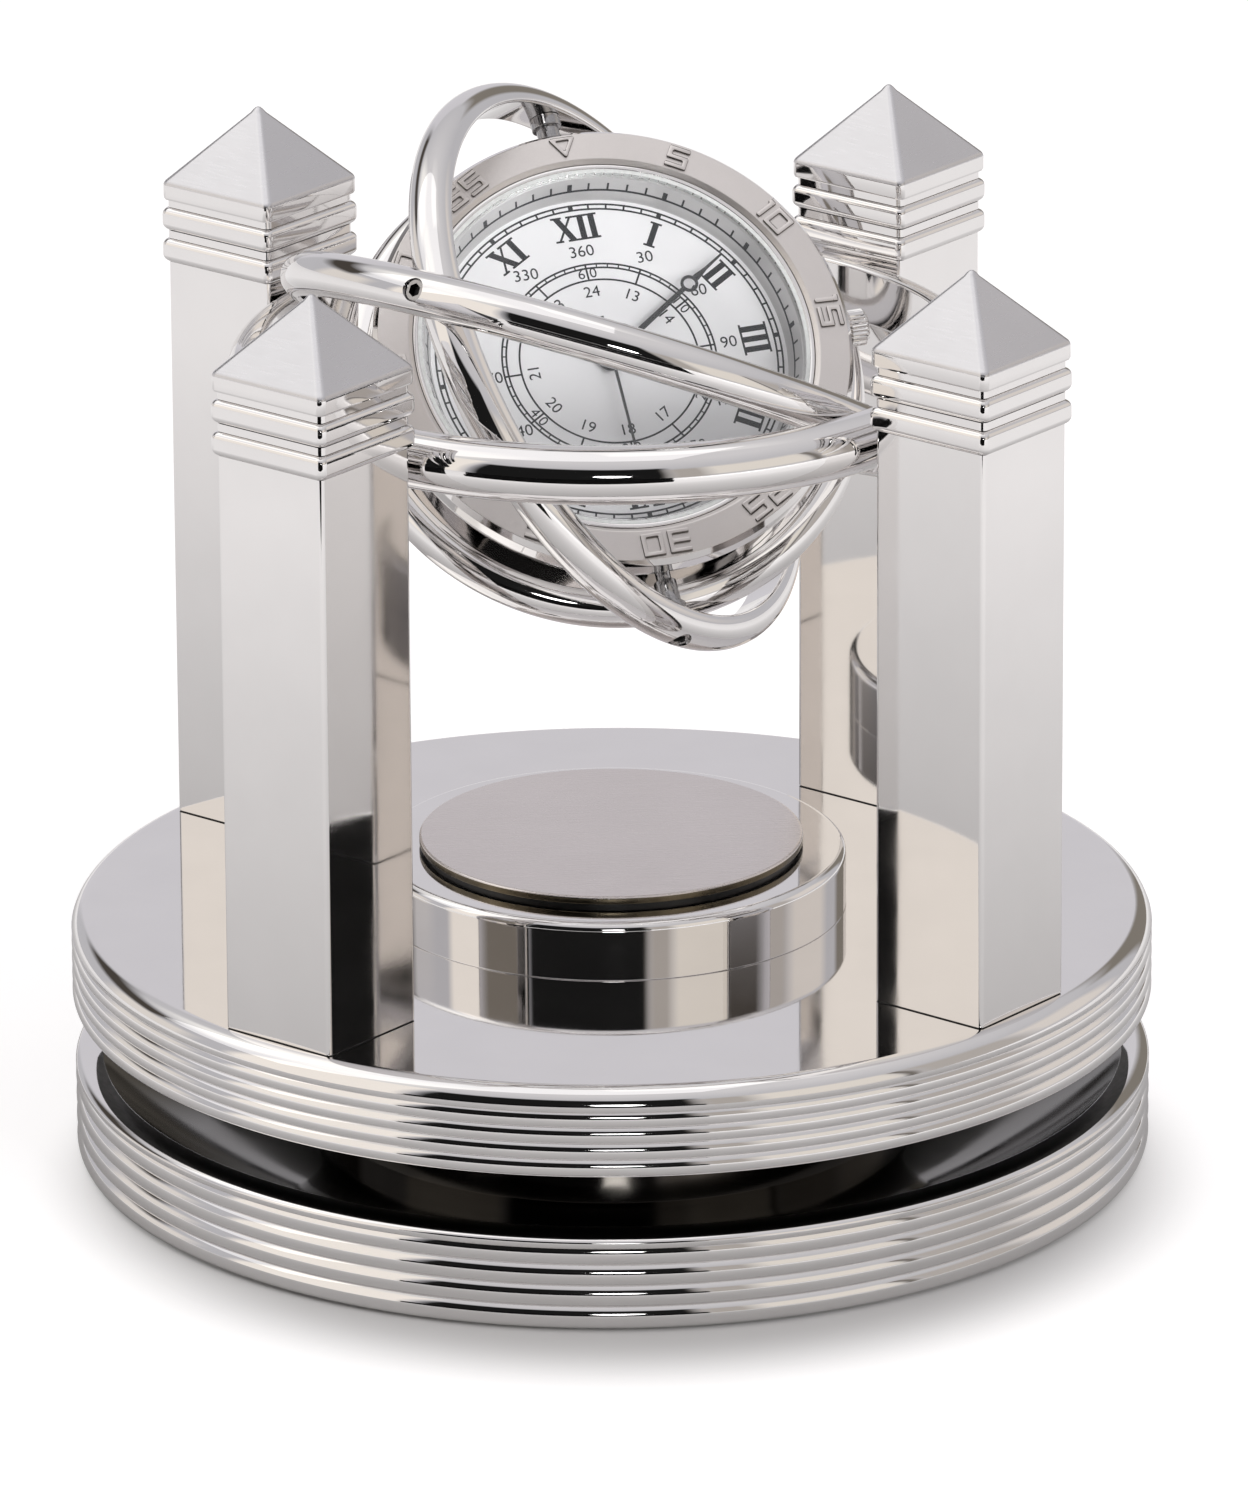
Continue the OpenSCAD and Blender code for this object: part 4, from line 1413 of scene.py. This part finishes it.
class GIMBAL_CLOCK_OT_carried(bpy.types.Operator):
    """Finish the fasteners, bearings and movement that stay from the frame"""

    bl_idname = "gimbal_clock.carried"
    bl_label = "Inner parts"

    def execute(self, context):
        for finish, names in CARRIED.items():
            for name in names:
                node = frame["nodes"][name]
                if not node.material_slots:
                    node.data.materials.append(finished(finish))
                for slot in node.material_slots:
                    slot.material = finished(finish)
        return {"FINISHED"}


# Stage


def band(tree, value, low, high, soft):
    """One between two values, falling to nothing over a soft edge outside them."""
    up = ranged(tree, value, 0, 1, low - soft, low + soft)
    down = ranged(tree, value, 1, 0, high - soft, high + soft)
    return product(tree, up, down)


def patch(tree, azimuth, elevation, sides, heights, soft):
    """One over a patch of the studio's wall, by azimuth and elevation in degrees."""
    across = band(tree, azimuth, *(math.radians(side) for side in sides), math.radians(soft))
    along = band(tree, elevation, *(math.radians(height) for height in heights), math.radians(soft))
    return product(tree, across, along)


# Patches of the studio: sides and heights in degrees, soft edge, colour and strength.
# Azimuth 0 is in front of the clock and grows to the viewer's right
PATCHES = (
    ((163, 190), (-5, 31), 2, "d6d4d9", 1),
    ((-190, -166), (-5, 31), 2, "d6d4d9", 1),
    ((-92, -50), (-2, 46), 2, "fff8f0", 1),
    ((-134, -105), (-4, 18), 4, "e8e2dc", 1),
    ((-162, -120), (18, 31), 3, "4a4540", 1),
    ((-150, -105), (38, 62), 6, "f2f0ed", 1.15),
    ((-105, -55), (46, 70), 6, "e6e4e2", 1.1),
    ((-47, 12), (-3, 37), 2, "1b1b1b", 1),
    ((12, 24), (-2, 31), 3, "b5afa9", 1),
    ((24, 57), (2, 31), 3, "ece5dc", 1),
    ((57, 60), (-2, 30), 1, "4a443c", 1),
    ((60, 90), (-2, 31), 4, "bab4af", 1),
    ((92, 122), (4, 31), 4, "e4ddd7", 1),
    ((138, 162), (-4, 30), 3, "857f77", 1),
    ((100, 178), (66, 88), 6, "f2f0f0", 1),
)


# Light of the studio's ceiling, over the grey of its walls
CEILING = "dcdadc"


def light_studio():
    """A pale studio with dark and bright cards, and plain white behind for the camera."""
    world = bpy.data.worlds.new("studio")
    bpy.context.scene.world = world
    world.use_nodes = True
    tree = world.node_tree
    tree.nodes.clear()
    direction = add_node(tree, "ShaderNodeTexCoord").outputs["Generated"]
    parts = add_node(tree, "ShaderNodeSeparateXYZ", links={0: direction}).outputs
    toward = add_node(tree, "ShaderNodeMath", {"operation": "MULTIPLY", 1: -1.0}, {0: parts[1]}).outputs[0]
    azimuth = add_node(tree, "ShaderNodeMath", {"operation": "ARCTAN2"}, {0: parts[0], 1: toward}).outputs[0]
    elevation = add_node(tree, "ShaderNodeMath", {"operation": "ARCSINE"}, {0: parts[2]}).outputs[0]
    height = ranged(tree, elevation, 0, 1, 0, math.radians(90))
    shown = tinted(tree, height, tuple(colours().studio), linear(CEILING))
    for sides, heights, soft, hex_colour, strength in PATCHES:
        mask = patch(tree, azimuth, elevation, sides, heights, soft)
        card = (*darker(linear(hex_colour), strength), 1)
        mixed = add_node(tree, "ShaderNodeMix", {"data_type": "RGBA", 7: card}, {0: mask, 6: shown})
        shown = mixed.outputs[2]
    walls = add_node(tree, "ShaderNodeBackground", {"Strength": 1}, {"Color": shown})
    white = add_node(tree, "ShaderNodeBackground", {"Strength": 1, "Color": (1, 1, 1, 1)})
    seen = add_node(tree, "ShaderNodeLightPath").outputs["Is Camera Ray"]
    both = add_node(tree, "ShaderNodeMixShader", links={0: seen, 1: walls.outputs[0], 2: white.outputs[0]})
    add_node(tree, "ShaderNodeOutputWorld", links={"Surface": both.outputs[0]})


# Lamps: name, shape, place in metres, width and height in metres, watts, whether mirrors show it
LAMPS = (
    ("overhead", "RECTANGLE", (-0.6, 0.12, 1.4), (1.2, 2.4), 3.3, True),
    ("front_right_box", "RECTANGLE", (0.87, -1.25, 0.55), (1.0, 0.8), 13.5, False),
    ("front_spark", "ELLIPSE", (-0.136, -1.56, 0.36), (0.3, 0.17), 0.9, True),
)
# The point that the lamps face, in metres
LAMPS_AIM = Vector((0, 0, 0.05))


def hang_lamp(name, shape, place, size, watts, mirrored):
    """A softbox that faces the clock."""
    lamp = bpy.data.lights.new(name, "AREA")
    lamp.shape = shape
    lamp.size, lamp.size_y = size
    lamp.energy = watts
    holder = add_object(name, lamp)
    holder.location = place
    holder.rotation_euler = (LAMPS_AIM - holder.location).to_track_quat("-Z", "Y").to_euler()
    holder.visible_glossy = mirrored


# The shares of the paper's light that reach the clock and the camera. The clock gets the darker share, a
# shaded copy of the paper that its mirrors show
PAPER_SHARES = (0.55, 0.62)
# Mirrors see the paper glow further off, painted light that leaves it darker near the clock. The glow grows
# between these distances in metres
PAINTED_MIRROR_GLOW = 0.45
PAINTED_GLOW_SPAN = (0.06, 0.3)
# The camera sees it glow past a painted shadow round the base, whose edge lies between these radii in metres
GLOW_PAST_PAINTED_SHADOW = 0.6
PAINTED_SHADOW_EDGE = (0.047, 0.064)


def mix_paper():
    """Matt white paper. It keeps the clock's shadow, with a painted shadow round the base and a painted glow
    further out, and runs into the white behind.
    """
    tree, where = blank("matt white paper")
    path = add_node(tree, "ShaderNodeLightPath").outputs
    camera, mirror = path["Is Camera Ray"], path["Is Glossy Ray"]
    for_clock, for_camera = [(*darker(colours().paper, share), 1) for share in PAPER_SHARES]
    choice = {"data_type": "RGBA", 6: for_clock, 7: for_camera}
    shade = add_node(tree, "ShaderNodeMix", choice, {0: camera}).outputs[2]
    paper = add_node(tree, "ShaderNodeBsdfDiffuse", links={"Color": shade})
    away = add_node(tree, "ShaderNodeVectorMath", {"operation": "LENGTH"}, {0: where}).outputs["Value"]
    far = ranged(tree, away, 0, PAINTED_MIRROR_GLOW, *PAINTED_GLOW_SPAN)
    mirrored = product(tree, far, mirror)
    # The painted shadow lies forward of the clock's axis
    middle = {"operation": "DISTANCE", 1: (0, -sizes().shadow_shift, 0)}
    from_painted_shadow = add_node(tree, "ShaderNodeVectorMath", middle, {0: where}).outputs["Value"]
    start, end = PAINTED_SHADOW_EDGE
    rise = {"interpolation_type": "SMOOTHSTEP", "From Min": start, "From Max": end, "To Max": GLOW_PAST_PAINTED_SHADOW}
    near = add_node(tree, "ShaderNodeMapRange", rise, {"Value": from_painted_shadow}).outputs[0]
    seen = product(tree, near, camera)
    painted_glow_strength = add_node(tree, "ShaderNodeMath", {"operation": "ADD"}, {0: mirrored, 1: seen}).outputs[0]
    # The paper glows though it is no lamp: painted light that whitens it past the painted shadow and
    # brightens it far off for mirrors
    glow = add_node(tree, "ShaderNodeEmission", {"Color": (*colours().paper, 1)}, {"Strength": painted_glow_strength})
    both = add_node(tree, "ShaderNodeAddShader", links={0: paper.outputs[0], 1: glow.outputs[0]})
    add_node(tree, "ShaderNodeOutputMaterial", links={"Surface": both.outputs[0]})


def stage_sheet(name, corners, finish):
    """A flat sheet of the stage, from its four corners in metres."""
    mesh = bpy.data.meshes.new(name)
    mesh.from_pydata(corners, [], [(0, 1, 2, 3)])
    mesh.materials.append(finished(finish))
    sheet = add_object(name, mesh)
    return sheet


def lay_floor():
    """The paper that the clock stands on."""
    half = sizes().floor_width / 2
    corners = [(-half, -half, 0), (half, -half, 0), (half, half, 0), (-half, half, 0)]
    stage_sheet("floor", corners, "matt white paper")


# Dark cards in front of the clock: their direction in degrees, and distance, width and height in metres
CARD_AZIMUTH = -17.5
CARDS = {"far_card": (0.5, 0.57, 0.084), "near_card": (0.3, 0.34, 0.041)}


def mix_velvet():
    """Black velvet on the cards: it gives a mirror a deep, even black."""
    tree, _ = blank("black cotton velvet")
    velvet = add_node(tree, "ShaderNodeBsdfDiffuse", {"Color": (*linear("1b1b1b"), 1)})
    add_node(tree, "ShaderNodeOutputMaterial", links={"Surface": velvet.outputs[0]})


def stand_card(name, distance, width, height):
    """A black card that only mirrors show. It widens the dark streaks on the rings."""
    turn = about_z(CARD_AZIMUTH)
    half = width / 2
    corners = [(-half, 0), (half, 0), (half, height), (-half, height)]
    placed = [turn @ Vector((x, -distance, z)) for x, z in corners]
    card = stage_sheet(name, placed, "black cotton velvet")
    card.visible_camera = False
    card.visible_diffuse = False
    card.visible_shadow = False
    card.visible_transmission = False


# The photograph's viewpoint, in metres and radians, and the lens in millimetres
AZIMUTH = math.radians(-5.983)
ELEVATION = math.radians(19.307)
ROLL = math.radians(-0.313)
DISTANCE = 1.3767
AIM_RIGHT = 0.001414
AIM_HEIGHT = 0.043578
SENSOR = 36.0
LENS = 374.6


def place_camera():
    """The camera at the photograph's angle and distance."""
    flat = math.cos(ELEVATION)
    forward = Vector((-math.sin(AZIMUTH) * flat, math.cos(AZIMUTH) * flat, -math.sin(ELEVATION)))
    level = Vector((math.cos(AZIMUTH), math.sin(AZIMUTH), 0))
    above = level.cross(forward)
    right = level * math.cos(ROLL) + above * math.sin(ROLL)
    upward = above * math.cos(ROLL) - level * math.sin(ROLL)
    aim = level * AIM_RIGHT + Vector((0, 0, AIM_HEIGHT))
    data = bpy.data.cameras.new("camera")
    data.sensor_fit = "HORIZONTAL"
    data.sensor_width = SENSOR
    data.lens = LENS
    data.clip_end = 100
    camera = add_object("camera", data)
    turn = Matrix((right, upward, -forward)).transposed().to_4x4()
    camera.matrix_world = Matrix.Translation(aim - forward * DISTANCE) @ turn
    bpy.context.scene.camera = camera


class GIMBAL_CLOCK_OT_stage(bpy.types.Operator):
    """Set up the studio: camera, lamps, walls and floor"""

    bl_idname = "gimbal_clock.stage"
    bl_label = "Studio"

    def execute(self, context):
        mix_paper()
        mix_velvet()
        place_camera()
        light_studio()
        lay_floor()
        for name, place in CARDS.items():
            stand_card(name, *place)
        for lamp in LAMPS:
            hang_lamp(*lamp)
        context.scene.view_settings.view_transform = "Standard"
        return {"FINISHED"}


OPERATORS = (
    GIMBAL_CLOCK_OT_finishes,
    GIMBAL_CLOCK_OT_stage,
    GIMBAL_CLOCK_OT_foot,
    GIMBAL_CLOCK_OT_turntable,
    GIMBAL_CLOCK_OT_columns,
    GIMBAL_CLOCK_OT_rings,
    GIMBAL_CLOCK_OT_pivots,
    GIMBAL_CLOCK_OT_case,
    GIMBAL_CLOCK_OT_crown,
    GIMBAL_CLOCK_OT_bezel,
    GIMBAL_CLOCK_OT_dial,
    GIMBAL_CLOCK_OT_flange,
    GIMBAL_CLOCK_OT_hands,
    GIMBAL_CLOCK_OT_carried,
)


class GIMBAL_CLOCK_PT_panel(bpy.types.Panel):
    """Lists the steps, sizes and colours"""

    bl_idname = "GIMBAL_CLOCK_PT_panel"
    bl_label = "Gimbal Clock"
    bl_space_type = "VIEW_3D"
    bl_region_type = "UI"
    bl_category = "Gimbal Clock"

    def draw(self, context):
        column = self.layout.column()
        for operator in OPERATORS:
            column.operator(operator.bl_idname)
        for group in (context.scene.gimbal_clock_sizes, context.scene.gimbal_clock_colours):
            for name in group.bl_rna.properties.keys():
                if name not in ("rna_type", "name"):
                    column.prop(group, name)


CLASSES = (GimbalClockSizes, GimbalClockColours, *OPERATORS, GIMBAL_CLOCK_PT_panel)


def register():
    """Adds the classes, sizes and colours to Blender."""
    for item in CLASSES:
        bpy.utils.register_class(item)
    bpy.types.Scene.gimbal_clock_sizes = PointerProperty(type=GimbalClockSizes)
    bpy.types.Scene.gimbal_clock_colours = PointerProperty(type=GimbalClockColours)


def unregister():
    """Takes the classes, sizes and colours out of Blender again."""
    del bpy.types.Scene.gimbal_clock_colours
    del bpy.types.Scene.gimbal_clock_sizes
    for item in reversed(CLASSES):
        bpy.utils.unregister_class(item)


def main():
    """Builds the clock on its stage."""
    register()
    for operator in OPERATORS:
        group, name = operator.bl_idname.split(".")
        getattr(getattr(bpy.ops, group), name)()


if __name__ == "__main__":
    main()
